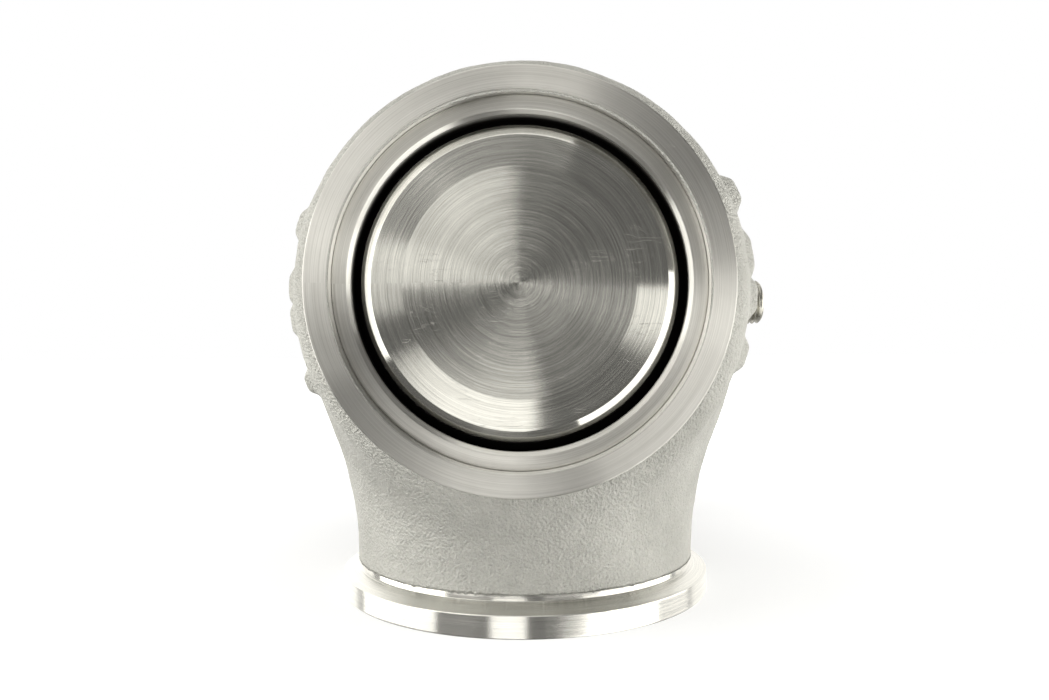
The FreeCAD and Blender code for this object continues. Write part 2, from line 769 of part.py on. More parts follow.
# ------------------------------------------------------- stem bush and seals
stem_bush = turned(
    "stem_bush",
    [
        (guide_bore, base_y + 1.9),
        (guide_bore + 0.5, base_y + 1.4),
        (D.guide_hole_radius, base_y + 1.4),
        (D.guide_hole_radius, 103.4),
        (guide_bore, 103.4),
    ],
)
NODES.append(stem_bush)
stem_seal = turned(
    "stem_seal",
    [
        (guide_bore + 0.5, 103.5),
        (D.guide_hole_radius - 0.05, 103.5),
        (D.guide_hole_radius - 0.05, 106.8),
        (guide_bore + 0.5, 106.8),
        (guide_bore, 106.3),
        (guide_bore + 0.7, 105.1),
        (guide_bore, 104.0),
    ],
)
NODES.append(stem_seal)
seal_clip = circlip("seal_circlip", 6.4, 8.75, 106.95, 107.85, 38.0)
NODES.append(seal_clip)


# -------------------------------------------------------------- air fittings
def air_union(label, face, height, side):
    """A male-threaded union along X with a cone seat, screwed into a port at the given y."""
    body = new_body(label)
    s = new_sketch(body, label + "_profile", "XY_Plane")
    # turned about an axis parallel to X: radius is measured from the port axis
    start = face + 1.0
    pts = [
        (face - 9.5, 1.7),
        (face - 9.5, 3.9),
        (face - 9.0, 4.4),
        (face + 0.0, 4.4),
        (face + 1.0, 4.4),
        (start, 6.6),
        (start + 1.2, 6.6),
        (start + 1.2, 4.6),
        (start + 8.4, 4.6),
        (start + 9.4, 5.6),
        (start + 10.4, 5.6),
        (start + 11.4, 6.58),
        (start + 25.0, 6.58),
        (start + 25.8, 5.8),
        (start + 25.8, 4.2),
        (start + 22.6, 1.7),
    ]
    outline(s, [(p[0], p[1]) for p in pts])
    before = 0.0
    s.AttachmentOffset = FreeCAD.Placement(V(0, num(height), 0), FreeCAD.Rotation())
    bind(s, "AttachmentOffset.Base.y", height)
    feature = body.newObject("PartDesign::Revolution", label + "_turned")
    feature.Profile = s
    feature.ReferenceAxis = (s, ["H_Axis"])
    feature.Angle = 360.0
    must_add(body, before, label)
    # hexagon of the spanner size
    h = new_sketch(body, label + "_hex", "YZ_Plane")
    h.AttachmentOffset = FreeCAD.Placement(V(num(height), 0, num(start) + 1.0), FreeCAD.Rotation())
    bind(h, "AttachmentOffset.Base.x", height)
    bind(h, "AttachmentOffset.Base.z", start + 1.0)
    hexagon(h, 12.0)
    circle(h, 0, 0, 3.0)
    pad(body, label + "_spanner", h, 6.0)
    turn = num(D.clock_angle) + (180.0 if side < 0 else 0.0)
    body.Placement = FreeCAD.Placement(V(0, 0, 0), FreeCAD.Rotation(V(0, 1, 0), turn))
    body.setExpression("Placement.Rotation.Angle", "Dimensions.clock_angle + %g" % (180.0 if side < 0 else 0.0))
    return body


lower_fitting = air_union("lower_air_fitting", D.port_face_radius, D.port_y, 1)
NODES.append(lower_fitting)
top_fitting = air_union("upper_air_fitting", D.port_face_radius, D.cap_port_y, -1)
NODES.append(top_fitting)


# --------------------------------------------------------------- port plugs
def port_plug(label, at_degrees, count):
    """A threaded plug with a hexagon socket, along X, repeated about the valve axis."""
    body = new_body(label)
    s = new_sketch(body, label + "_profile", "XY_Plane", (0, D.port_y, 0))
    face = D.port_face_radius
    outline(
        s,
        [
            (face - 8.5, 0),
            (face - 8.5, 3.9),
            (face - 8.0, 4.4),
            (face + 1.0, 4.4),
            (face + 1.0, 7.0),
            (face + 4.5, 7.0),
            (face + 5.0, 6.5),
            (face + 5.0, 0),
        ],
    )
    feature = body.newObject("PartDesign::Revolution", label + "_turned")
    feature.Profile = s
    feature.ReferenceAxis = (s, ["H_Axis"])
    feature.Angle = 360.0
    must_add(body, 0.0, label)
    h = new_sketch(body, label + "_key_profile", "YZ_Plane", (D.port_y, 0, face + 5.0))
    hexagon(h, 5.0)
    key = pocket(body, label + "_key", h, 4.0)
    if count > 1:
        polar(body, label + "_all", [feature, key], count)
    turn = num(D.clock_angle) + at_degrees
    body.Placement = FreeCAD.Placement(V(0, 0, 0), FreeCAD.Rotation(V(0, 1, 0), turn))
    body.setExpression("Placement.Rotation.Angle", "Dimensions.clock_angle + %g" % at_degrees)
    return body


air_plug = port_plug("air_port_plug", 180.0, 1)
NODES.append(air_plug)
coolant_plugs = port_plug("coolant_port_plugs", 90.0, 2)
NODES.append(coolant_plugs)

# sealing washers under the four base ports and the cap port
washers = new_body("sealing_washers")
s = new_sketch(washers, "washer_profile", "YZ_Plane", (D.port_y, 0, D.port_face_radius))
circle(s, 0, 0, 7.2)
circle(s, 0, 0, 4.5)
one = pad(washers, "washer", s, 1.0)
polar(washers, "base_washers", [one], 4)
s = new_sketch(washers, "cap_washer_profile", "YZ_Plane", (D.cap_port_y, 0, -(D.port_face_radius + 1.0)))
circle(s, 0, 0, 7.2)
circle(s, 0, 0, 4.5)
pad(washers, "cap_washer", s, 1.0)
clocked(washers)
NODES.append(washers)

# ----------------------------------------------------- diaphragm and its plates
plate = turned(
    "lower_diaphragm_plate",
    [
        (D.thread_radius + 0.05, D.stem_shoulder_y),
        (27.4, D.stem_shoulder_y),
        (28.2, D.stem_shoulder_y + 0.8),
        (28.2, D.stem_shoulder_y + 2.0),
        (D.thread_radius + 0.05, D.stem_shoulder_y + 2.0),
    ],
)
NODES.append(plate)

rubber = D.rubber_thickness
sheet_y = D.stem_shoulder_y + 2.0
diaphragm = turned(
    "diaphragm",
    [
        (D.thread_radius + 0.1, sheet_y),
        (29.4, sheet_y, (30.6, 112.45)),
        (31.1, sheet_y + 1.7),
        (31.1, 121.0, (32.825, 122.5)),
        (34.55, 121.0),
        (34.55, D.clamp_y + 1.2, (34.9, 118.35)),
        (D.air_chamber_radius - 0.6, D.clamp_y),
        (D.rim_radius - 0.2, D.clamp_y),
        (D.rim_radius - 0.2, D.clamp_y + rubber),
        (D.air_chamber_radius - 0.25, D.clamp_y + rubber),
        (D.air_chamber_radius - 0.25, 121.0, (32.825, 124.0)),
        (29.6, 121.0),
        (29.6, sheet_y + rubber + 0.4),
        (29.2, sheet_y + rubber),
        (D.thread_radius + 0.1, sheet_y + rubber),
    ],
)
sk = new_sketch(diaphragm, "diaphragm_hole_profile", "XZ_Plane", (0, 0, -(D.clamp_y - 1.0)))
circle(sk, D.cap_screw_circle * 0.92388, D.cap_screw_circle * 0.38268, 2.8)
hole = pocket(diaphragm, "diaphragm_hole", sk, 4.0)
polar(diaphragm, "diaphragm_holes", [hole], 8)
clocked(diaphragm)
NODES.append(diaphragm)

piston_y = sheet_y + rubber
piston = turned(
    "spring_piston",
    [
        (D.thread_radius + 0.05, piston_y),
        (28.6, piston_y),
        (29.4, piston_y + 0.8),
        (29.4, 125.2),
        (28.8, 125.8),
        (27.4, 125.8),
        (26.8, 125.2),
        (26.8, piston_y + 4.0, (26.3, 116.6)),
        (25.3, piston_y + 2.5),
        (D.thread_radius + 0.05, piston_y + 2.5),
    ],
)
NODES.append(piston)

washer_y = piston_y + 2.5
piston_washer = turned(
    "piston_washer",
    [
        (D.thread_radius + 0.1, washer_y),
        (11.0, washer_y),
        (11.0, washer_y + 1.5),
        (D.thread_radius + 0.1, washer_y + 1.5),
    ],
)
NODES.append(piston_washer)

nut_y = washer_y + 1.5
nut = new_body("stem_nut")
s = new_sketch(nut, "nut_profile", "XZ_Plane", (0, 0, -nut_y))
hexagon(s, 13.0)
circle(s, 0, 0, D.thread_radius + 0.02)
pad(nut, "nut_hexagon", s, 5.2, reverse=True)
s = new_sketch(nut, "nut_collar_profile", "XZ_Plane", (0, 0, -(nut_y + 5.2)))
circle(s, 0, 0, 5.9)
circle(s, 0, 0, D.thread_radius + 0.02)
pad(nut, "nut_collar", s, 1.6, reverse=True)
NODES.append(nut)


# ------------------------------------------------------------------- springs
def spring(label, mean_radius, wire, low, high, turns):
    body = new_body(label)
    s = new_sketch(body, label + "_wire", "XY_Plane")
    circle(s, mean_radius, low + wire * 0.5, wire * 0.5)
    doc.recompute()
    helix = body.newObject("PartDesign::AdditiveHelix", label + "_coil")
    helix.Profile = s
    helix.ReferenceAxis = (s, ["V_Axis"])
    helix.Mode = "height-turns-growth"
    helix.Height = num(high) - num(low) - num(wire)
    helix.setExpression("Height", "%s - %s - %s" % (high.text, low.text, wire.text))
    helix.Turns = turns
    helix.Growth = 0.0
    doc.recompute()
    length = turns * math.hypot(2 * math.pi * num(mean_radius), (num(high) - num(low) - num(wire)) / turns)
    expected = length * math.pi * (num(wire) / 2) ** 2
    if abs(body.Shape.Volume - expected) > 0.03 * expected:
        raise RuntimeError("%s has volume %.1f, expected %.1f" % (label, body.Shape.Volume, expected))
    return body


spring_low = washer_y + 0.02
spring_high = D.cap_inner_top - 0.02
outer_spring = spring("outer_spring", D.outer_spring_radius, D.outer_wire, spring_low, spring_high, 5)
NODES.append(outer_spring)
inner_spring = spring("inner_spring", D.inner_spring_radius, D.inner_wire, spring_low, spring_high, 6.5)
NODES.append(inner_spring)

# -------------------------------------------------------------- actuator cap
cap_y = D.clamp_y + rubber
cap = new_body("actuator_cap")
sk = new_sketch(cap, "cap_profile")
outline(
    sk,
    [
        (0, D.cap_inner_top - 3.0),
        (11.0, D.cap_inner_top - 3.0),
        (11.0, D.cap_inner_top),
        (D.air_chamber_radius - 3.0, D.cap_inner_top, (35.4, 155.1)),
        (D.air_chamber_radius, D.cap_inner_top - 3.0),
        (D.air_chamber_radius, cap_y),
        (D.rim_radius - 0.5, cap_y),
        (D.rim_radius, cap_y + 0.5),
        (D.rim_radius, cap_y + D.cap_flange_thickness - 0.8),
        (D.rim_radius - 0.8, cap_y + D.cap_flange_thickness),
        (D.cap_wall_radius, cap_y + D.cap_flange_thickness),
        (D.cap_wall_radius, D.cap_top - 5.0, (38.3, 159.5)),
        (D.cap_wall_radius - 5.0, D.cap_top),
        (0, D.cap_top),
    ],
)
revolve(cap, "cap_turned", sk)
# port boss on the side of the cap, on the -X side
sk = new_sketch(cap, "cap_boss_profile", "YZ_Plane", (D.cap_port_y, 0, -D.port_face_radius))
circle(sk, 0, 0, D.port_boss_radius)
pad(cap, "cap_boss", sk, 6.0)
sk = new_sketch(cap, "cap_port_profile", "YZ_Plane", (D.cap_port_y, 0, -(D.port_face_radius + 1.0)))
circle(sk, 0, 0, D.port_hole_radius)
pocket(cap, "cap_port", sk, 12.0, reverse=True)
sk = new_sketch(cap, "cap_hole_profile", "XZ_Plane", (0, 0, -(cap_y - 1.0)))
circle(sk, D.cap_screw_circle * 0.92388, D.cap_screw_circle * 0.38268, 2.75)
hole = pocket(cap, "cap_hole", sk, 8.0)
polar(cap, "cap_holes", [hole], 8)
# shallow turned recess in the top, left bare
sk = new_sketch(cap, "cap_recess_profile")
outline(
    sk,
    [
        (0, D.cap_top + 0.5),
        (27.0, D.cap_top + 0.5),
        (27.0, D.cap_top - 0.6),
        (26.4, D.cap_top - 1.2),
        (0, D.cap_top - 1.2),
    ],
)
revolve(cap, "cap_recess", sk, cut=True)
clocked(cap)
NODES.append(cap)

# --------------------------------------------------------------------- check
doc.recompute()
failed = []
for obj in doc.Objects:
    if "Invalid" in obj.State or "Error" in obj.State:
        failed.append("%s %s" % (obj.Label, obj.State))
for node in NODES:
    shape = node.Shape
    if shape.isNull() or not shape.isValid() or not shape.Solids:
        failed.append(node.Label + " has no valid shape")
if failed:
    raise RuntimeError("; ".join(failed))

os.makedirs("parts", exist_ok=True)
for node in NODES:
    node.Shape.exportStep("parts/%s.step" % node.Label)
    box = node.Shape.BoundBox
    print(
        "%-24s solids %d volume %9.1f  x %.2f..%.2f  y %.2f..%.2f  z %.2f..%.2f"
        % (node.Label, len(node.Shape.Solids), node.Shape.Volume, box.XMin, box.XMax, box.YMin, box.YMax, box.ZMin, box.ZMax)
    )
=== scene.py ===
import math

import bmesh
import bpy
import numpy as np
from mathutils import Matrix, Vector, noise


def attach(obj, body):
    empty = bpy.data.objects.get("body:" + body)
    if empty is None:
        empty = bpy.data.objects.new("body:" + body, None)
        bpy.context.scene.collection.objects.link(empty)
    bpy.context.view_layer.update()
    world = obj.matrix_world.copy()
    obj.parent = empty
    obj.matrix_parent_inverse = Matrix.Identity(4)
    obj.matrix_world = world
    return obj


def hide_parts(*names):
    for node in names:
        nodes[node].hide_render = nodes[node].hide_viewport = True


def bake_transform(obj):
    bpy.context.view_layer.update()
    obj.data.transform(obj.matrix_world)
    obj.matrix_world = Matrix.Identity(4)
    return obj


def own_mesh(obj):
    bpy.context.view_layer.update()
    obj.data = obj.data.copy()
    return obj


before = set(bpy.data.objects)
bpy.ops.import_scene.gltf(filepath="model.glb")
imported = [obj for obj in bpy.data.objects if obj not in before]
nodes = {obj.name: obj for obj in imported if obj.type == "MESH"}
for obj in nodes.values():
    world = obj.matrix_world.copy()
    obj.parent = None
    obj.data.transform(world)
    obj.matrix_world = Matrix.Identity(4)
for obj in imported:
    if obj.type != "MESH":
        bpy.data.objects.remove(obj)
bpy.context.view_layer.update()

MM = 0.001
scene = bpy.context.scene
scene.view_settings.view_transform = "Standard"
scene.view_settings.look = "None"
scene.view_settings.exposure = 0.0
scene.view_settings.gamma = 1.0

OUTLET_Y = 47.3
CLOCK = math.radians(-2.2)


# ------------------------------------------------------------------ camera
def make_camera():
    yaw, pitch, roll = -0.0156, 0.0081, -0.0065
    fw = Vector((math.sin(yaw) * math.cos(pitch), math.cos(yaw) * math.cos(pitch), math.sin(pitch)))
    right = Vector((math.cos(yaw), -math.sin(yaw), 0.0))
    up = right.cross(fw)
    r2 = right * math.cos(roll) + up * math.sin(roll)
    u2 = up * math.cos(roll) - right * math.sin(roll)
    cam = bpy.data.cameras.new("main_camera")
    cam.sensor_fit = "HORIZONTAL"
    cam.sensor_width = 36.0
    cam.lens = 796.8 * 36.0 / 1049.0
    cam.clip_start = 0.005
    cam.clip_end = 50.0
    cam.dof.use_dof = False
    ob = bpy.data.objects.new("main_camera", cam)
    scene.collection.objects.link(ob)
    m = Matrix((
        (r2.x, u2.x, -fw.x, 3.1356 * MM),
        (r2.y, u2.y, -fw.y, -142.194 * MM),
        (r2.z, u2.z, -fw.z, -13.4745 * MM),
        (0, 0, 0, 1),
    ))
    ob.matrix_world = m
    scene.camera = ob
    return ob


make_camera()


# --------------------------------------------------------------- node tools
class Mat:
    """A node material with a Principled shader and short calls for the nodes used here."""

    def __init__(self, name):
        self.m = bpy.data.materials.new(name)
        self.m.use_nodes = True
        self.t = self.m.node_tree
        self.b = self.t.nodes["Principled BSDF"]
        self.coord = self.t.nodes.new("ShaderNodeTexCoord").outputs["Object"]
        self.mm = self.vec("SCALE", self.coord, scale=1000.0)

    def node(self, kind, **props):
        n = self.t.nodes.new(kind)
        for k, v in props.items():
            setattr(n, k, v)
        return n

    def link(self, a, b):
        self.t.links.new(a, b)

    def put(self, socket, value):
        if hasattr(value, "is_output"):
            self.link(value, socket)
        else:
            socket.default_value = value

    def vec(self, op, a, b=None, scale=None):
        n = self.node("ShaderNodeVectorMath", operation=op)
        self.put(n.inputs[0], a)
        if b is not None:
            self.put(n.inputs[1], b)
        if scale is not None:
            n.inputs["Scale"].default_value = scale
        return n.outputs["Value"] if op in ("LENGTH", "DOT_PRODUCT", "DISTANCE") else n.outputs["Vector"]

    def math(self, op, a, b=0.0, c=0.0, clamp=False):
        n = self.node("ShaderNodeMath", operation=op, use_clamp=clamp)
        self.put(n.inputs[0], a)
        self.put(n.inputs[1], b)
        self.put(n.inputs[2], c)
        return n.outputs[0]

    def split(self, v):
        n = self.node("ShaderNodeSeparateXYZ")
        self.link(v, n.inputs[0])
        return n.outputs

    def join(self, x, y, z):
        n = self.node("ShaderNodeCombineXYZ")
        for k, v in enumerate((x, y, z)):
            self.put(n.inputs[k], v)
        return n.outputs[0]

    def noise(self, v, scale, detail=2.0, rough=0.5, dims="3D", w=None, distortion=0.0):
        n = self.node("ShaderNodeTexNoise", noise_dimensions=dims)
        if dims != "1D":
            self.link(v, n.inputs["Vector"])
        if w is not None:
            self.put(n.inputs["W"], w)
        n.inputs["Scale"].default_value = scale
        n.inputs["Detail"].default_value = detail
        n.inputs["Roughness"].default_value = rough
        n.inputs["Distortion"].default_value = distortion
        return n.outputs["Fac"]

    def voronoi(self, v, scale, feature="F1", rand=1.0):
        n = self.node("ShaderNodeTexVoronoi", feature=feature)
        self.link(v, n.inputs["Vector"])
        n.inputs["Scale"].default_value = scale
        n.inputs["Randomness"].default_value = rand
        return n.outputs["Distance"]

    def span(self, v, a, b, lo, hi, smooth=False):
        n = self.node("ShaderNodeMapRange", interpolation_type="SMOOTHSTEP" if smooth else "LINEAR")
        self.put(n.inputs["Value"], v)
        n.inputs["From Min"].default_value = a
        n.inputs["From Max"].default_value = b
        n.inputs["To Min"].default_value = lo
        n.inputs["To Max"].default_value = hi
        return n.outputs["Result"]

    def colour(self, fac, a, b):
        n = self.node("ShaderNodeMix", data_type="RGBA")
        self.put(n.inputs[0], fac)
        n.inputs[6].default_value = (*a, 1.0)
        n.inputs[7].default_value = (*b, 1.0)
        return n.outputs[2]

    def mixcol(self, fac, a, b):
        n = self.node("ShaderNodeMix", data_type="RGBA")
        self.put(n.inputs[0], fac)
        self.put(n.inputs[6], a)
        self.put(n.inputs[7], b if hasattr(b, "is_output") else (*b, 1.0))
        return n.outputs[2]

    def bump(self, height, distance_mm, strength=1.0, before=None):
        n = self.node("ShaderNodeBump")
        n.inputs["Strength"].default_value = strength
        n.inputs["Distance"].default_value = distance_mm * MM
        self.link(height, n.inputs["Height"])
        if before is not None:
            self.link(before, n.inputs["Normal"])
        return n.outputs["Normal"]

    def set(self, **values):
        names = {"color": "Base Color", "metal": "Metallic", "rough": "Roughness", "normal": "Normal",
                 "aniso": "Anisotropic", "rotation": "Anisotropic Rotation", "tangent": "Tangent",
                 "spec": "Specular IOR Level", "coat": "Coat Weight", "coat_rough": "Coat Roughness",
                 "sheen": "Sheen Weight"}
        for k, v in values.items():
            s = self.b.inputs[names[k]]
            if isinstance(v, tuple) and k == "color" and len(v) == 3:
                v = (*v, 1.0)
            self.put(s, v)
        return self.m


def cast_metal():
    """Bead-blasted stainless casting: fine sand grain, faint tone variation."""
    m = Mat("cast_stainless_blasted")
    broad = m.noise(m.mm, 0.06, 3.0, 0.55)
    patch = m.noise(m.mm, 0.35, 3.0, 0.6)
    grain = m.noise(m.mm, 1.9, 3.0, 0.6)
    dust = m.noise(m.mm, 4.5, 2.0, 0.55)
    pits = m.voronoi(m.mm, 1.5)
    tone = m.math("ADD", m.math("MULTIPLY", broad, 0.30), m.math("MULTIPLY", patch, 0.20))
    tone = m.math("ADD", tone, m.math("MULTIPLY", grain, 0.25))
    tone = m.math("ADD", tone, m.math("MULTIPLY", dust, 0.25))
    col = m.colour(m.span(tone, 0.36, 0.64, 0.0, 1.0), (0.43, 0.429, 0.403), (0.645, 0.644, 0.614))
    # a few small dark casting marks
    mark = m.span(m.voronoi(m.mm, 0.045), 0.0, 0.028, 1.0, 0.0, True)
    mark = m.math("MULTIPLY", mark, m.span(m.noise(m.mm, 0.9, 2.0, 0.5), 0.45, 0.6, 0.0, 1.0, True))
    col = m.mixcol(m.math("MULTIPLY", mark, 0.75), col, (0.16, 0.13, 0.09))
    rough = m.span(m.math("ADD", m.math("MULTIPLY", patch, 0.5), m.math("MULTIPLY", grain, 0.5)), 0.3, 0.7, 0.60, 0.72)
    n1 = m.bump(m.noise(m.mm, 0.42, 3.0, 0.55), 0.25, 0.6)
    n2 = m.bump(m.math("ADD", grain, m.math("MULTIPLY", pits, 0.45)), 0.42, 1.0, n1)
    n3 = m.bump(dust, 0.10, 0.9, n2)
    return m.set(color=col, metal=1.0, rough=rough, normal=n3)


def turned_metal(name, axis, centre, low, high, rough=(0.3, 0.42), aniso=0.85, pitch=1.0, scratch=0.3,
                 depth=0.012, spin=0.25, painted_gap_shade=None):
    """Lathe-turned steel: grooves run round the axis, tone varies ring by ring, light scratches.
    painted_gap_shade: (radius limit, start, full) paints shade into the deep gap between valve and seat: near black
    and rougher inside the radius limit, deeper than a height along the axis."""
    m = Mat(name)
    x, y, z = m.split(m.mm)
    if axis == "Y":
        a, b, along = m.math("SUBTRACT", x, centre[0]), m.math("SUBTRACT", z, centre[1]), y
    else:
        a, b, along = m.math("SUBTRACT", x, centre[0]), m.math("SUBTRACT", y, centre[1]), z
    r = m.math("SQRT", m.math("ADD", m.math("MULTIPLY", a, a), m.math("MULTIPLY", b, b)))
    ang = m.math("ARCTAN2", b, a)
    # a coordinate that changes across the grooves, and hardly along them
    ring = m.join(m.math("MULTIPLY", r, pitch), m.math("MULTIPLY", along, pitch), m.math("MULTIPLY", ang, 0.35))
    fine = m.noise(ring, 5.2, 3.0, 0.65)
    mid = m.noise(ring, 1.1, 2.0, 0.5)
    short = m.noise(m.join(m.math("MULTIPLY", r, 7.0), m.math("MULTIPLY", along, 7.0), m.math("MULTIPLY", ang, 9.0)), 1.0, 2.0, 0.6)
    patch = m.noise(m.mm, 0.12, 3.0, 0.6)
    tone = m.math("ADD", m.math("MULTIPLY", fine, 0.55), m.math("MULTIPLY", mid, 0.3))
    tone = m.math("ADD", tone, m.math("MULTIPLY", patch, 0.25))
    # single tool marks: thin lines round the axis that come and go along their length
    marks = m.noise(m.join(m.math("MULTIPLY", r, 5.5), m.math("MULTIPLY", along, 5.5), m.math("MULTIPLY", ang, 0.8)), 1.0, 2.0, 0.6)
    tone = m.math("ADD", m.math("MULTIPLY", tone, 0.62), m.math("MULTIPLY", marks, 0.42))
    col = m.colour(m.span(tone, 0.40, 0.68, 0.0, 1.0), low, high)
    rg = m.span(m.math("ADD", m.math("MULTIPLY", fine, 0.6), m.math("MULTIPLY", short, 0.4)), 0.3, 0.7, rough[0], rough[1])
    n = m.bump(fine, depth, 0.55)
    n = m.bump(marks, depth * 0.30, 0.5, n)
    n = m.bump(short, depth * 0.6, scratch, n)
    # sparse handling scratches: thin lines where a stretched noise crosses its middle value
    turn = m.node("ShaderNodeMapping")
    turn.inputs["Rotation"].default_value = (0.35, 0.6, 1.1)
    turn.inputs["Scale"].default_value = (0.055, 0.9, 0.5)
    m.link(m.mm, turn.inputs["Vector"])
    s = m.noise(turn.outputs["Vector"], 1.7, 2.0, 0.5, distortion=0.25)
    line = m.span(m.math("ABSOLUTE", m.math("SUBTRACT", s, 0.56)), 0.0, 0.0045, 1.0, 0.0, True)
    where = m.span(m.noise(m.mm, 0.16, 2.0, 0.5), 0.53, 0.62, 0.0, 1.0, True)
    line = m.math("MULTIPLY", line, where)
    n = m.bump(m.math("MULTIPLY", line, -1.0), depth, scratch * 1.4, n)
    # painted shade: the colour goes near black deep in the gap between valve head and seat, where shade falls
    if painted_gap_shade:
        limit, start, full = painted_gap_shade
        deep = m.span(along, start, full, 0.0, 1.0, True)
        near = m.span(r, limit - 0.05, limit + 0.05, 1.0, 0.0, True)
        dark = m.math("MULTIPLY", deep, near)
        col = m.mixcol(dark, col, (0.012, 0.011, 0.010))
        rg = m.math("ADD", rg, m.math("MULTIPLY", dark, 0.3))
    tan = m.node("ShaderNodeTangent", direction_type="RADIAL", axis=axis)
    return m.set(color=col, metal=1.0, rough=rg, normal=n, aniso=aniso, rotation=spin, tangent=tan.outputs[0])


def rings_only(name, axis, centre, low, high, rough, metal=1.0, aniso=0.6, coat=0.0):
    """Turned and then anodised or plated: fine rings under an even finish."""
    m = Mat(name)
    x, y, z = m.split(m.mm)
    a, b, along = (x, z, y) if axis == "Y" else (x, y, z)
    a, b = m.math("SUBTRACT", a, centre[0]), m.math("SUBTRACT", b, centre[1])
    r = m.math("SQRT", m.math("ADD", m.math("MULTIPLY", a, a), m.math("MULTIPLY", b, b)))
    ang = m.math("ARCTAN2", b, a)
    ring = m.join(r, along, m.math("MULTIPLY", ang, 0.3))
    fine = m.noise(ring, 4.0, 3.0, 0.6)
    speck = m.noise(m.mm, 3.2, 3.0, 0.6)
    patch = m.noise(m.mm, 0.1, 3.0, 0.55)
    tone = m.math("ADD", m.math("MULTIPLY", fine, 0.5), m.math("MULTIPLY", patch, 0.5))
    col = m.colour(m.span(tone, 0.3, 0.75, 0.0, 1.0), low, high)
    rg = m.span(m.math("ADD", m.math("MULTIPLY", fine, 0.5), m.math("MULTIPLY", speck, 0.5)), 0.3, 0.7, rough[0], rough[1])
    n = m.bump(fine, 0.01, 0.5)
    n = m.bump(speck, 0.01, 0.35, n)
    tan = m.node("ShaderNodeTangent", direction_type="RADIAL", axis=axis)
    return m.set(color=col, metal=metal, rough=rg, normal=n, aniso=aniso, rotation=0.25, tangent=tan.outputs[0], coat=coat)


def plain_metal(name, low, high, rough, grain=1.5, depth=0.02, metal=1.0):
    m = Mat(name)
    fine = m.noise(m.mm, grain, 4.0, 0.6)
    patch = m.noise(m.mm, 0.22, 3.0, 0.55)
    tone = m.math("ADD", m.math("MULTIPLY", fine, 0.4), m.math("MULTIPLY", patch, 0.6))
    col = m.colour(m.span(tone, 0.3, 0.72, 0.0, 1.0), low, high)
    rg = m.span(fine, 0.3, 0.7, rough[0], rough[1])
    n = m.bump(fine, depth, 0.4)
    n = m.bump(patch, depth * 4.0, 0.2, n)
    return m.set(color=col, metal=metal, rough=rg, normal=n)


def rubber(name, low, high, weave=False):
    m = Mat(name)
    fine = m.noise(m.mm, 3.0, 3.0, 0.6)
    patch = m.noise(m.mm, 0.2, 3.0, 0.55)
    if weave:
        x, y, z = m.split(m.mm)
        w = m.math("MULTIPLY", m.math("SINE", m.math("MULTIPLY", x, 9.0)), m.math("SINE", m.math("MULTIPLY", z, 9.0)))
        n = m.bump(w, 0.03, 0.5)
    else:
        n = m.bump(fine, 0.02, 0.4)
    col = m.colour(m.span(m.math("ADD", m.math("MULTIPLY", fine, 0.4), m.math("MULTIPLY", patch, 0.6)), 0.3, 0.7, 0.0, 1.0), low, high)
    return m.set(color=col, metal=0.0, rough=m.span(fine, 0.3, 0.7, 0.48, 0.66), normal=n, sheen=0.1)


MAT = {
    "cast": cast_metal(),
    "inlet": turned_metal("turned_inlet_flange", "Y", (0, 0), (0.58, 0.57, 0.535), (0.80, 0.79, 0.755), (0.36, 0.44), 1.0, 1.0, 0.35, 0.014),
    # the seat and valve materials take painted shade in the gap between them from their last argument
    "seat": turned_metal("turned_seat_ring", "Y", (0, 0), (0.56, 0.55, 0.515), (0.80, 0.79, 0.755), (0.28, 0.36), 1.0, 1.2, 0.25, 0.012, painted_gap_shade=(31.5, 4.2, 7.6)),
    "valve": turned_metal("turned_valve_face", "Y", (0, 0), (0.44, 0.435, 0.405), (0.75, 0.745, 0.70), (0.125, 0.155), 1.0, 0.8, 0.45, 0.006, painted_gap_shade=(40.0, 4.9, 6.5)),
    "outlet": turned_metal("turned_outlet_flange", "Z", (0, OUTLET_Y), (0.68, 0.672, 0.635), (0.85, 0.842, 0.80), (0.20, 0.26), 1.0, 1.0, 0.25, 0.010),
    "black": rings_only("anodised_black_turned", "Y", (0, 0), (0.018, 0.018, 0.02), (0.045, 0.045, 0.048), (0.28, 0.42), 0.65, 0.5, 0.15),
    "aluminium": rings_only("plain_turned_aluminium", "Y", (0, 0), (0.62, 0.62, 0.63), (0.78, 0.78, 0.79), (0.26, 0.38)),
    "bronze": rings_only("machined_bronze", "Y", (0, 0), (0.42, 0.29, 0.13), (0.60, 0.43, 0.21), (0.28, 0.4)),
    "screw": plain_metal("screw_stainless", (0.40, 0.40, 0.39), (0.58, 0.575, 0.56), (0.26, 0.4), 1.2, 0.01),
    "fitting": plain_metal("fitting_dull_plated", (0.40, 0.39, 0.34), (0.62, 0.61, 0.56), (0.24, 0.36), 1.4, 0.02),
    "spring_steel": plain_metal("spring_steel_black", (0.09, 0.09, 0.095), (0.17, 0.17, 0.18), (0.34, 0.48)),
    "wire": plain_metal("spring_wire_peened", (0.24, 0.24, 0.25), (0.40, 0.40, 0.41), (0.34, 0.5), 2.2, 0.04),
    "copper": plain_metal("copper_annealed", (0.50, 0.24, 0.13), (0.70, 0.38, 0.24), (0.32, 0.48)),
    "graphite": plain_metal("graphite_pressed", (0.03, 0.03, 0.03), (0.09, 0.09, 0.09), (0.5, 0.65), 1.5, 0.03, 0.0),
    "gasket": plain_metal("gasket_laminate", (0.16, 0.15, 0.13), (0.30, 0.285, 0.25), (0.6, 0.75), 1.1, 0.05, 0.0),
    "seal": rubber("seal_rubber_black", (0.012, 0.012, 0.012), (0.035, 0.034, 0.033)),
    "diaphragm": rubber("diaphragm_rubber_red", (0.17, 0.035, 0.022), (0.30, 0.075, 0.05), True),
}


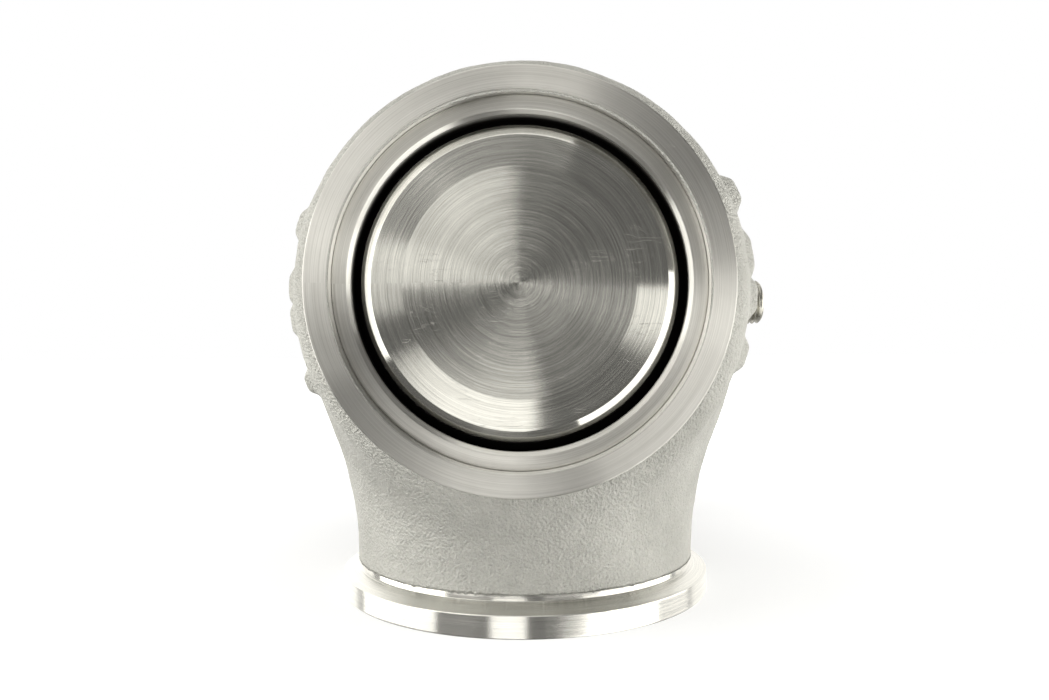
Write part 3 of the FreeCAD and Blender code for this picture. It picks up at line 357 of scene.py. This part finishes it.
# ---------------------------------------------------------------- mesh tools
def link_mesh(name, verts, faces, material, smooth=True):
    me = bpy.data.meshes.new(name)
    me.from_pydata([tuple(v) for v in verts], [], faces)
    me.validate()
    me.materials.append(material)
    me.polygons.foreach_set("use_smooth", [smooth] * len(me.polygons))
    me.update()
    ob = bpy.data.objects.new(name, me)
    scene.collection.objects.link(ob)
    return ob


def path_points(corners, steps=4, hold=0.09):
    """Corner list of (radius, height, edge radius) to a path with small rounded edges and support points."""
    n = len(corners)
    out = []
    for k in range(n):
        p = Vector(corners[k][:2])
        rad = corners[k][2] if len(corners[k]) > 2 else 0.0
        a = Vector(corners[k - 1][:2])
        b = Vector(corners[(k + 1) % n][:2])
        da, db = (a - p), (b - p)
        la, lb = da.length, db.length
        da.normalize()
        db.normalize()
        cosang = max(-1.0, min(1.0, da.dot(db)))
        ang = math.acos(cosang)
        if rad <= 0.0 or ang > math.pi - 0.02 or p.x <= 1e-6:
            out.append((p.x, p.y))
            continue
        cut = min(rad / math.tan(ang / 2.0), 0.45 * la, 0.45 * lb)
        real = cut * math.tan(ang / 2.0)
        mid = (da + db).normalized()
        c = p + mid * (real / math.sin(ang / 2.0))
        s, e = p + da * cut, p + db * cut
        if la * 0.5 > cut + hold:
            q = p + da * (cut + hold)
            out.append((q.x, q.y))
        a0 = math.atan2(s.y - c.y, s.x - c.x)
        a1 = math.atan2(e.y - c.y, e.x - c.x)
        d = a1 - a0
        while d > math.pi:
            d -= 2 * math.pi
        while d < -math.pi:
            d += 2 * math.pi
        for i in range(steps + 1):
            t = a0 + d * i / steps
            out.append((c.x + real * math.cos(t), c.y + real * math.sin(t)))
        if lb * 0.5 > cut + hold:
            q = p + db * (cut + hold)
            out.append((q.x, q.y))
    return out


def lathe(name, corners, material, axis="Y", centre=(0.0, 0.0), segs=384, steps=4, closed=True, hold=0.09):
    """A ring or disc turned from corners. Y: (x, z) centre; Z: (x, y) centre. Millimetres in, metres out."""
    pts = path_points(corners, steps, hold)
    verts, rings = [], []
    for r, h in pts:
        if r < 1e-6:
            rings.append([len(verts)])
            verts.append((0.0, h, 0.0) if axis == "Y" else (0.0, 0.0, h))
        else:
            base = len(verts)
            for i in range(segs):
                t = 2 * math.pi * i / segs
                c, s = r * math.cos(t), r * math.sin(t)
                verts.append((c, h, s) if axis == "Y" else (c, s, h))
            rings.append([base + i for i in range(segs)])
    faces = []
    last = len(rings) if closed else len(rings) - 1
    for k in range(last):
        a, b = rings[k], rings[(k + 1) % len(rings)]
        if len(a) == 1 and len(b) == 1:
            continue
        for i in range(segs):
            j = (i + 1) % segs
            if len(a) == 1:
                faces.append((a[0], b[j], b[i]))
            elif len(b) == 1:
                faces.append((a[i], a[j], b[0]))
            else:
                faces.append((a[i], a[j], b[j], b[i]))
    off = (centre[0], 0.0, centre[1]) if axis == "Y" else (centre[0], centre[1], 0.0)
    verts = [((v[0] + off[0]) * MM, (v[1] + off[1]) * MM, (v[2] + off[2]) * MM) for v in verts]
    ob = link_mesh(name, verts, faces, material)
    bm = bmesh.new()
    bm.from_mesh(ob.data)
    bmesh.ops.recalc_face_normals(bm, faces=bm.faces)
    bm.to_mesh(ob.data)
    bm.free()
    return ob


# ------------------------------------------------------------- housing skin
HOUSING_OUTLINE = [(0, 0), (38.7, 0), (39.0, 0.3), (39.0, 4.0), (37.5, 4.8), (36.9, 5.4), (36.9, 10.0), (39.1, 10.0)]


def arc3(a, m, b, n):
    """Points from a to b on the circle through m."""
    ax, ay, mx, my, bx, by = *a, *m, *b
    d = 2 * (ax * (my - by) + mx * (by - ay) + bx * (ay - my))
    ux = ((ax**2 + ay**2) * (my - by) + (mx**2 + my**2) * (by - ay) + (bx**2 + by**2) * (ay - my)) / d
    uy = ((ax**2 + ay**2) * (bx - mx) + (mx**2 + my**2) * (ax - bx) + (bx**2 + by**2) * (mx - ax)) / d
    r = math.hypot(ax - ux, ay - uy)
    t0, tm, t1 = (math.atan2(p[1] - uy, p[0] - ux) for p in (a, m, b))
    def norm(t, s):
        while t < s:
            t += 2 * math.pi
        return t
    if norm(tm, t0) <= norm(t1, t0):
        sweep = norm(t1, t0) - t0
    else:
        sweep = norm(t1, t0) - t0 - 2 * math.pi
    return [(ux + r * math.cos(t0 + sweep * i / n), uy + r * math.sin(t0 + sweep * i / n)) for i in range(1, n + 1)]


def body_polygon():
    pts = list(HOUSING_OUTLINE)
    for end, mid, n in (((45.3, 15.6), (43.1, 11.7), 8), ((47.4, 44.0), (46.9, 28.0), 14), ((43.2, 69.0), (46.5, 58.0), 12)):
        pts += arc3(pts[-1], mid, end, n)
    pts += arc3(pts[-1], (38.6, 76.2), (31.0, 80.4), 8)
    pts += arc3(pts[-1], (25.2, 82.2), (20.0, 83.4), 6)
    pts += [(20.0, 84.0), (32.4, 84.0), (33.0, 84.6), (33.0, 91.5), (32.5, 92.0), (0, 92.0)]
    return np.array(pts)


POLY = body_polygon()


def sd_polygon(px, py, poly):
    """Signed distance to a closed polygon, negative inside."""
    d2 = np.full(px.shape, 1e18)
    inside = np.zeros(px.shape, bool)
    n = len(poly)
    for k in range(n):
        ax, ay = poly[k]
        bx, by = poly[(k + 1) % n]
        ex, ey = bx - ax, by - ay
        l2 = ex * ex + ey * ey
        if l2 < 1e-12:
            continue
        t = np.clip(((px - ax) * ex + (py - ay) * ey) / l2, 0.0, 1.0)
        if not (abs(ax) < 1e-9 and abs(bx) < 1e-9):
            dx, dy = px - ax - t * ex, py - ay - t * ey
            d2 = np.minimum(d2, dx * dx + dy * dy)
        crosses = (ay > py) != (by > py)
        with np.errstate(divide="ignore", invalid="ignore"):
            xi = ax + (py - ay) * ex / (ey if ey != 0 else 1e-12)
        inside ^= crosses & (px < xi)
    d = np.sqrt(d2)
    return np.where(inside, -d, d)


NECK_Z = np.array([-58.7, -50.0, -42.0, -34.0, -27.0, -20.0, -12.0, 0.0])
NECK_X = np.array([38.45, 38.9, 40.4, 42.6, 44.7, 46.2, 46.9, 47.2])
_zz = np.linspace(-62.0, 2.0, 400)


def _smooth_neck():
    """The neck's half width along X by height, as a smooth curve through the sections."""
    w = np.interp(_zz, NECK_Z, NECK_X)
    k = np.exp(-0.5 * (np.arange(-30, 31) / 11.0) ** 2)
    k /= k.sum()
    return np.convolve(np.pad(w, 30, mode="edge"), k, mode="valid")


NECK_W = _smooth_neck()


def smin(a, b, k):
    h = np.clip(0.5 + 0.5 * (b - a) / k, 0.0, 1.0)
    return b * (1 - h) + a * h - k * h * (1 - h)


# raised bars on both flanks: up angle from horizontal, width in degrees, height, left?
BARS = [
    (16.7, 9.2, 1.5, 1), (1.8, 8.6, 1.2, 1), (-8.0, 8.4, 1.25, 1), (-22.9, 7.2, 1.7, 1),
    (23.9, 9.6, 2.3, 0), (9.3, 11.2, 1.45, 0), (-3.2, 10.4, 1.75, 0), (-16.2, 9.2, 1.6, 0),
]


def skin(p):
    """Smooth union of the turned body, its raised bars and the outlet neck: signed distance in mm."""
    x, y, z = p[:, 0], p[:, 1], p[:, 2]
    r = np.hypot(x, z)
    body = sd_polygon(r, y, POLY)
    ang = np.degrees(np.arctan2(z, np.abs(x)))
    left = x < 0
    bars = np.zeros(len(p))
    # bars run along the body's side; each swells, narrows and tapers a little along its length
    wob = np.sin(y * 0.21 + 1.3) * 0.9 + np.sin(y * 0.55) * 0.35
    for k, (up, wide, high, isleft) in enumerate(BARS):
        mine = left == bool(isleft)
        mid = up + wob * (0.8 if k % 2 else -0.6)
        half = wide * 0.5 * (1.0 + 0.10 * np.sin(y * 0.33 + k * 1.7))
        side = np.clip((half * 1.32 - np.abs(ang - mid)) / (0.86 * half), 0.0, 1.0)
        side = side * side * (3 - 2 * side)
        crown = 1.0 - 0.12 * np.minimum(((ang - mid) / half) ** 2, 2.0)
        ends = np.clip((y - 15.6) / 1.9, 0, 1) * np.clip((65.5 - y) / 3.0, 0, 1)
        ends = ends * ends * (3 - 2 * ends)
        bars = np.where(mine, np.maximum(bars, high * 0.98 * side * crown * ends), bars)
    body = body - bars
    half_x = np.interp(z, _zz, NECK_W)
    half_y = 37.8 + 0.7 * np.clip((-55.0 - z) / 3.7, 0.0, 1.0)
    dy = y - OUTLET_Y
    q = np.hypot(x / half_x, dy / half_y)
    g = np.hypot(x / half_x**2, dy / half_y**2) / np.maximum(q, 1e-9)
    neck = (q - 1.0) / np.maximum(g, 1e-9)
    cap = np.maximum(-58.7 - z, z - 2.0)
    neck = np.where((cap > 0) | (neck > 0), np.hypot(np.maximum(neck, 0), np.maximum(cap, 0)), np.maximum(neck, cap))
    k = 9.0 * np.clip((z + 62.0) / 10.0, 0.05, 1.0)
    return smin(body, neck, k)


def field_noise(p, scale, seed):
    off = Vector((seed * 3.7, seed * 1.9, seed * 5.3))
    return np.array([noise.noise(Vector(q) * scale + off) for q in p])


def make_skin():
    """The cast surface: the housing's own mesh, remeshed and drawn onto the smooth union."""
    src = nodes["valve_housing"]
    me = src.data.copy()
    ob = bpy.data.objects.new("cast_body", me)
    scene.collection.objects.link(ob)
    size = 0.5
    me.remesh_voxel_size = size * MM
    md = ob.modifiers.new("remesh", "REMESH")
    md.mode = "VOXEL"
    md.voxel_size = size * MM
    md.use_smooth_shade = True
    bpy.context.view_layer.update()
    dg = bpy.context.evaluated_depsgraph_get()
    new = bpy.data.meshes.new_from_object(ob.evaluated_get(dg))
    ob.modifiers.clear()
    ob.data = new
    bpy.data.meshes.remove(me)
    n = len(new.vertices)
    co = np.zeros(n * 3, np.float32)
    new.vertices.foreach_get("co", co)
    p = co.reshape(-1, 3).astype(float) / MM
    f = skin(p)
    outer = (f > -2.9) & (p[:, 1] < 83.0)
    idx = np.where(outer)[0]
    q = p[idx].copy()
    h = 0.05
    for _ in range(4):
        f0 = skin(q)
        grad = np.stack([(skin(q + d) - skin(q - d)) / (2 * h) for d in (np.array([h, 0, 0]), np.array([0, h, 0]), np.array([0, 0, h]))], axis=1)
        g2 = np.maximum((grad**2).sum(1), 0.2)
        step = np.clip(f0 / g2, -0.8, 0.8)
        q = q - grad * step[:, None]
    norm = grad / np.sqrt(np.maximum((grad**2).sum(1), 1e-9))[:, None]
    # the uneven surface of a casting, kept off the turned edges
    low = field_noise(q, 0.11, 1.0) * 0.16 + field_noise(q, 0.33, 2.0) * 0.075
    low = low + field_noise(q, 0.85, 3.0) * 0.035
    fade = np.clip((q[:, 1] - 10.5) / 3.0, 0, 1) * np.clip((q[:, 2] + 58.2) / 2.0, 0, 1)
    q = q + norm * (low * fade - 0.06 * fade)[:, None]
    p[idx] = q
    # sink what the turned flanges cover
    r = np.hypot(p[:, 0], p[:, 2])
    rz = np.hypot(p[:, 0], p[:, 1] - OUTLET_Y)
    new.vertices.foreach_set("co", (p * MM).astype(np.float32).ravel())
    new.update()
    vn = np.zeros(n * 3, np.float32)
    new.vertices.foreach_get("normal", vn)
    vn = vn.reshape(-1, 3)
    front = np.clip((10.4 - p[:, 1]) / 0.6, 0, 1) * (r < 39.4)
    throat = ((p[:, 1] < 13.9) & (r < 34.8)).astype(float)
    low_end = np.clip((-58.2 - p[:, 2]) / 0.6, 0, 1) * (rz < 42.5)
    under = (p[:, 2] < -58.3) & (rz > 37.9)
    low_end = np.where(under & (p[:, 2] > -59.1), 0.0, low_end)
    rear = np.clip((p[:, 1] - 84.0) / 0.4, 0, 1)
    sink = np.maximum.reduce([front, throat, low_end, rear])
    p = p - vn * (sink * 0.42)[:, None]
    # below the casting's end the turned outlet flange shows, so the cast mesh is drawn in behind it
    rz = np.hypot(p[:, 0], p[:, 1] - OUTLET_Y)
    tuck = np.where((p[:, 2] < -58.85) & (rz > 37.2), 37.2 / np.maximum(rz, 1.0), 1.0)
    p[:, 0] *= tuck
    p[:, 1] = OUTLET_Y + (p[:, 1] - OUTLET_Y) * tuck
    new.vertices.foreach_set("co", (p * MM).astype(np.float32).ravel())
    new.materials.clear()
    new.materials.append(MAT["cast"])
    new.polygons.foreach_set("material_index", [0] * len(new.polygons))
    new.polygons.foreach_set("use_smooth", [True] * len(new.polygons))
    new.update()
    return ob


cast = make_skin()
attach(cast, "gate_body")
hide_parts("valve_housing")

inlet = lathe("inlet_flange_turned", [
    (34.4, 0.0, 0.35), (39.0, 0.0, 0.28), (39.0, 4.0, 0.25), (37.3, 4.75, 0.3), (36.9, 5.4, 0.2), (36.9, 10.3, 0.0),
    (35.6, 10.5, 0.0), (35.0, 13.5, 0.2), (33.2, 13.5, 0.2), (33.2, 10.0, 0.15), (34.4, 10.0, 0.1)],
    MAT["inlet"], "Y", (0.0, 0.0))
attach(inlet, "gate_body")

outlet = lathe("outlet_flange_turned", [
    (37.9, -57.6, 0.0), (37.9, -60.0, 0.12), (38.4, -60.3, 0.15), (41.9, -61.5, 0.22), (41.9, -65.9, 0.28),
    (34.5, -65.9, 0.35), (34.5, -57.6, 0.0)],
    MAT["outlet"], "Z", (0.0, OUTLET_Y))
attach(outlet, "gate_body")


def rear_flange():
    """The machined mounting flange keeps the CAD surface, cut off in the neck behind the casting."""
    me = nodes["valve_housing"].data.copy()
    bm = bmesh.new()
    bm.from_mesh(me)
    geom = bm.verts[:] + bm.edges[:] + bm.faces[:]
    bmesh.ops.bisect_plane(bm, geom=geom, plane_co=(0, 83.7 * MM, 0), plane_no=(0, 1, 0), clear_inner=True, dist=1e-7)
    bm.to_mesh(me)
    bm.free()
    ob = bpy.data.objects.new("mounting_flange_turned", me)
    scene.collection.objects.link(ob)
    me.materials.clear()
    me.materials.append(MAT["inlet"])
    me.polygons.foreach_set("material_index", [0] * len(me.polygons))
    return ob


rear = rear_flange()
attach(rear, "gate_body")

seat = lathe("valve_seat_turned", [
    (30.9, 3.1, 0.2), (31.6, 2.4, 0.25), (34.35, 2.4, 0.28), (34.35, 10.0, 0.1), (32.7, 10.0, 0.2), (31.4, 8.7, 0.2), (31.4, 4.6, 0.1), (30.9, 4.0, 0.2)],
    MAT["seat"], "Y", (0.0, 0.0))
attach(seat, "gate_body")
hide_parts("valve_seat")

HEAD = [(0.0, 2.1), (0.6, 2.1), (10.0, 2.1), (21.3, 2.1, 1.2), (27.1, 2.56, 0.4), (28.35, 3.17, 0.5), (29.15, 4.05, 0.5), (29.45, 5.0, 0.4),
        (29.45, 6.96, 0.2), (32.7, 10.21, 0.3), (32.7, 12.0, 0.3), (31.3, 13.0, 0.5)]
under = arc3((31.3, 13.0), (13.4, 15.9), (5.0, 23.0), 14)
HEAD += [(a, b, 0.0) for a, b in under]
HEAD += [(5.0, 109.7, 0.0), (4.7, 110.0, 0.0), (4.0, 110.0, 0.1), (4.0, 125.2, 0.1), (3.2, 126.0, 0.1), (0.0, 126.0)]
valve = lathe("valve_turned", HEAD, MAT["valve"], "Y", (0.0, 0.0), closed=False)
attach(valve, "valve_train")
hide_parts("valve")


def air_union(name, node, side, height):
    """Male-threaded union along X: collar, hexagon, relief groove, helical thread and cone seat."""
    pitch, depth, top = 1.337, 0.78, 6.58
    pts = path_points([(1.7, 34.5), (4.4, 34.5, 0.2), (4.4, 45.0), (6.6, 45.0, 0.2), (6.6, 46.2, 0.2), (4.6, 46.2),
                       (4.6, 53.4), (5.6, 54.4, 0.1), (5.6, 55.6)], 3)
    pts += [(top - 0.02, 56.4 + i * pitch / 12.0) for i in range(int(13.4 / pitch * 12))]
    pts += path_points([(6.5, 70.0), (5.8, 70.8, 0.2), (4.2, 70.8, 0.2), (1.7, 67.6)], 3)[0:]
    segs = 96
    turn = CLOCK + (math.pi if side < 0 else 0.0)
    co, si = math.cos(turn), math.sin(turn)
    verts, faces = [], []
    for r, x in pts:
        for i in range(segs):
            t = 2 * math.pi * i / segs
            rr = r
            if 55.9 < x < 70.0 and r > 6.0:
                ph = (x / pitch - t / (2 * math.pi)) % 1.0
                tri = abs(2 * ph - 1)
                rr = top - depth * min(1.0, max(0.0, tri * 1.25 - 0.12)) * min(1.0, (x - 55.9) / 1.0)
                rr = min(rr, top - max(0.0, x - 69.2) * 0.9)
            px, py, pz = x, rr * math.cos(t), rr * math.sin(t)
            verts.append(((px * co + pz * si) * MM, (py + height) * MM, (-px * si + pz * co) * MM))
    n = len(pts)
    for k in range(n):
        for i in range(segs):
            j = (i + 1) % segs
            a, b = k * segs, ((k + 1) % n) * segs
            faces.append((a + i, a + j, b + j, b + i))
    ob = link_mesh(name, verts, faces, MAT["fitting"])
    # hexagon
    hv = []
    R = 12.0 / math.sqrt(3.0)
    for x, rr in ((46.1, R - 0.35), (46.45, R), (51.65, R), (52.0, R - 0.35)):
        for i in range(6):
            t = math.radians(60 * i)
            hv.append((x, rr * math.cos(t), rr * math.sin(t)))
    hf = [tuple(range(6)), tuple(range(23, 17, -1))]
    for k in range(3):
        for i in range(6):
            j = (i + 1) % 6
            hf.append((k * 6 + i, k * 6 + j, (k + 1) * 6 + j, (k + 1) * 6 + i))
    hv = [((x * co + z * si) * MM, (y + height) * MM, (-x * si + z * co) * MM) for x, y, z in hv]
    hexa = link_mesh(name + "_hexagon", hv, hf, MAT["fitting"], False)
    for o in (ob, hexa):
        bm = bmesh.new()
        bm.from_mesh(o.data)
        bmesh.ops.recalc_face_normals(bm, faces=bm.faces)
        bm.to_mesh(o.data)
        bm.free()
        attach(o, "gate_body")
    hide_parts(node)


air_union("lower_union_threaded", "lower_air_fitting", 1, 101.7)
air_union("upper_union_threaded", "upper_air_fitting", -1, 145.0)


# ------------------------------------------------- carried-over CAD materials
KEEP = {
    "valve_guide": "bronze", "guide_seal_ring": "graphite", "guide_circlip": "spring_steel", "heat_gasket": "gasket",
    "actuator_base": "black", "base_screws": "screw", "cap_screws": "screw", "stem_bush": "bronze",
    "stem_seal": "seal", "seal_circlip": "spring_steel",
    "air_port_plug": "fitting", "coolant_port_plugs": "fitting", "sealing_washers": "copper", "actuator_cap": "black",
    "lower_diaphragm_plate": "aluminium", "spring_piston": "aluminium", "piston_washer": "screw", "stem_nut": "screw",
    "outer_spring": "wire", "inner_spring": "wire", "diaphragm": "diaphragm",
}
for name, key in KEEP.items():
    me = nodes[name].data
    if not me.materials:
        me.materials.append(MAT[key])
    for slot in nodes[name].material_slots:
        slot.material = MAT[key]


def soft_copy(node, name):
    """A piece of its own for a CAD solid that changes shape when the valve lifts."""
    ob = bpy.data.objects.new(name, nodes[node].data.copy())
    scene.collection.objects.link(ob)
    return ob


for node, name, slot in (("outer_spring", "outer_spring_coil", "spring_wire"), ("inner_spring", "inner_spring_coil", "spring_wire")):
    coil = soft_copy(node, name)
    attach(coil, "gate_body")
    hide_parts(node)
    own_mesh(coil)


sheet = soft_copy("diaphragm", "diaphragm_sheet")
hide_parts("diaphragm")
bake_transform(sheet)


# --------------------------------------------------------------------- stage
def emitter_material(name, strength, tint=(1, 1, 1)):
    m = bpy.data.materials.new(name)
    m.use_nodes = True
    t = m.node_tree
    t.nodes.clear()
    e = t.nodes.new("ShaderNodeEmission")
    e.inputs[0].default_value = (*tint, 1)
    e.inputs[1].default_value = strength
    o = t.nodes.new("ShaderNodeOutputMaterial")
    t.links.new(e.outputs[0], o.inputs[0])
    return m


FLOOR_Z = -65.9 * MM


def floor_material():
    m = bpy.data.materials.new("studio_floor")
    m.use_nodes = True
    t = m.node_tree
    t.nodes.clear()
    co = t.nodes.new("ShaderNodeTexCoord")
    ln = t.nodes.new("ShaderNodeVectorMath")
    ln.operation = "LENGTH"
    t.links.new(co.outputs["Object"], ln.inputs[0])
    mr = t.nodes.new("ShaderNodeMapRange")
    mr.interpolation_type = "SMOOTHSTEP"
    mr.inputs["From Min"].default_value = 0.10
    mr.inputs["From Max"].default_value = 0.55
    mr.inputs["To Min"].default_value = 0.5
    mr.inputs["To Max"].default_value = 0.99
    t.links.new(ln.outputs["Value"], mr.inputs["Value"])
    e = t.nodes.new("ShaderNodeEmission")
    t.links.new(mr.outputs["Result"], e.inputs["Strength"])
    e.inputs[0].default_value = (1, 1, 1, 1)
    d = t.nodes.new("ShaderNodeBsdfDiffuse")
    d.inputs[0].default_value = (0.62, 0.62, 0.61, 1)
    a = t.nodes.new("ShaderNodeAddShader")
    t.links.new(e.outputs[0], a.inputs[0])
    t.links.new(d.outputs[0], a.inputs[1])
    o = t.nodes.new("ShaderNodeOutputMaterial")
    t.links.new(a.outputs[0], o.inputs[0])
    return m


def disc(name, radius, z, material, segs=96):
    verts = [(0, 0, z)] + [(radius * math.cos(2 * math.pi * i / segs), radius * math.sin(2 * math.pi * i / segs), z) for i in range(segs)]
    faces = [(0, 1 + i, 1 + (i + 1) % segs) for i in range(segs)]
    return link_mesh(name, verts, faces, material, False)


floor = disc("floor", 30.0, FLOOR_Z, floor_material())
floor.visible_glossy = False


def area_light(name, centre, target, size, radiance, tint=(1.0, 1.0, 1.0)):
    """A rectangular softbox that shines towards target with this radiance."""
    data = bpy.data.lights.new(name, "AREA")
    data.shape = "RECTANGLE"
    data.size, data.size_y = size
    data.energy = radiance * math.pi * size[0] * size[1]
    data.color = tint
    ob = bpy.data.objects.new(name, data)
    scene.collection.objects.link(ob)
    ob.location = centre
    d = (Vector(target) - Vector(centre)).normalized()
    ob.rotation_euler = d.to_track_quat("-Z", "Y").to_euler()
    ob.visible_camera = False
    return ob


def around(az, el, dist):
    """A point at this azimuth (0 is towards the viewer, positive is the right) and elevation."""
    a, e = math.radians(az), math.radians(el)
    return Vector((math.sin(a) * math.cos(e), -math.cos(a) * math.cos(e), math.sin(e))) * dist + Vector((0, 0.03, 0))


WARM = (1.0, 0.985, 0.94)


def direction(kind, u, v):
    """azel: azimuth (0 towards the viewer, positive right) and elevation. polar: angle round the valve axis as seen
    from the front, clockwise from the right, and angle away from that axis."""
    u, v = math.radians(u), math.radians(v)
    if kind == "azel":
        return Vector((math.sin(u) * math.cos(v), -math.cos(u) * math.cos(v), math.sin(v)))
    return Vector((math.cos(u) * math.sin(v), -math.cos(v), -math.sin(u) * math.sin(v)))


def reflector(name, kind, u0, u1, v0, v1, radiance, tint=WARM, dist=0.9, n=10):
    """A curved softbox that only shows as a reflection in the metal."""
    verts, faces = [], []
    for i in range(n + 1):
        for j in range(n + 1):
            d = direction(kind, u0 + (u1 - u0) * i / n, v0 + (v1 - v0) * j / n)
            verts.append(d * dist + Vector((0, 0.01, -0.01)))
    for i in range(n):
        for j in range(n):
            k = i * (n + 1) + j
            faces.append((k, k + 1, k + n + 2, k + n + 1))
    m = emitter_material(name + "_light", radiance, tint)
    m.cycles.emission_sampling = "NONE"
    ob = link_mesh(name, verts, faces, m, False)
    ob.visible_camera = False
    ob.visible_diffuse = False
    ob.visible_shadow = False
    ob.visible_transmission = False
    ob.visible_volume_scatter = False
    return ob


for name, centre, size, radiance in (
    ("softbox_left", around(-82, 24, 0.62), (0.66, 0.44), 2.4),
    ("softbox_right", around(82, 24, 0.62), (0.66, 0.44), 2.4),
    ("softbox_top", around(-15, 62, 0.7), (0.6, 0.5), 1.6),
    ("softbox_back", around(180, 40, 0.75), (0.6, 0.5), 1.4),
):
    lamp = area_light(name, centre, (0, 0.03, 0.0), size, radiance)
    lamp.visible_glossy = False

# plain softboxes, each one even all over
for args in (
    ("card_left", "azel", -112, -53, -20, 24, 3.0),
    ("card_right_inner", "azel", 50.5, 76, -14, 9, 3.0),
    ("card_right_outer", "azel", 76, 114, -14, 22, 3.0),
    ("card_right_edge", "azel", 41, 50.5, -13, 3, 1.2),
    ("card_right_near", "azel", 13, 41, -4, 5, 1.5),
    ("card_lower_right", "polar", 16, 66, 42, 88, 2.6),
    ("card_front_low", "azel", -20, 1.5, -48, -4, 1.7),
    ("card_left_near", "azel", -17, -2, 5.5, 11, 1.3),
    ("card_left_far", "azel", -50, -17, 1, 12, 0.9),
    ("card_upper_near", "azel", -12, -1.5, 11, 19, 1.3),
    ("card_upper_left", "polar", 196, 236, 34, 76, 2.2),
    ("card_upper", "polar", 236, 288, 34, 76, 1.5),
    ("card_top", "azel", -180, 180, 64, 89, 1.2),
    ("card_back_right", "azel", 122, 170, -30, 50, 1.2),
    ("card_back_left", "azel", -170, -122, -30, 50, 1.4),
):
    reflector(*args)

world = bpy.data.worlds.new("studio_world")
scene.world = world
world.use_nodes = True
wt = world.node_tree
wt.nodes.clear()
wc = wt.nodes.new("ShaderNodeTexCoord")
ws = wt.nodes.new("ShaderNodeSeparateXYZ")
wt.links.new(wc.outputs["Generated"], ws.inputs[0])
wm = wt.nodes.new("ShaderNodeMapRange")
wm.interpolation_type = "SMOOTHSTEP"
wm.inputs["From Min"].default_value = -0.25
wm.inputs["From Max"].default_value = 0.6
wm.inputs["To Min"].default_value = 0.18
wm.inputs["To Max"].default_value = 0.5
wt.links.new(ws.outputs["Y"], wm.inputs["Value"])
wb = wt.nodes.new("ShaderNodeBackground")
wb.inputs[0].default_value = (1.0, 0.985, 0.95, 1)
wt.links.new(wm.outputs["Result"], wb.inputs[1])
wcam = wt.nodes.new("ShaderNodeBackground")
wcam.inputs[0].default_value = (1, 1, 1, 1)
wcam.inputs[1].default_value = 1.0
wl = wt.nodes.new("ShaderNodeLightPath")
wx = wt.nodes.new("ShaderNodeMixShader")
wt.links.new(wl.outputs["Is Camera Ray"], wx.inputs[0])
wt.links.new(wb.outputs[0], wx.inputs[1])
wt.links.new(wcam.outputs[0], wx.inputs[2])
wo = wt.nodes.new("ShaderNodeOutputWorld")
wt.links.new(wx.outputs[0], wo.inputs[0])
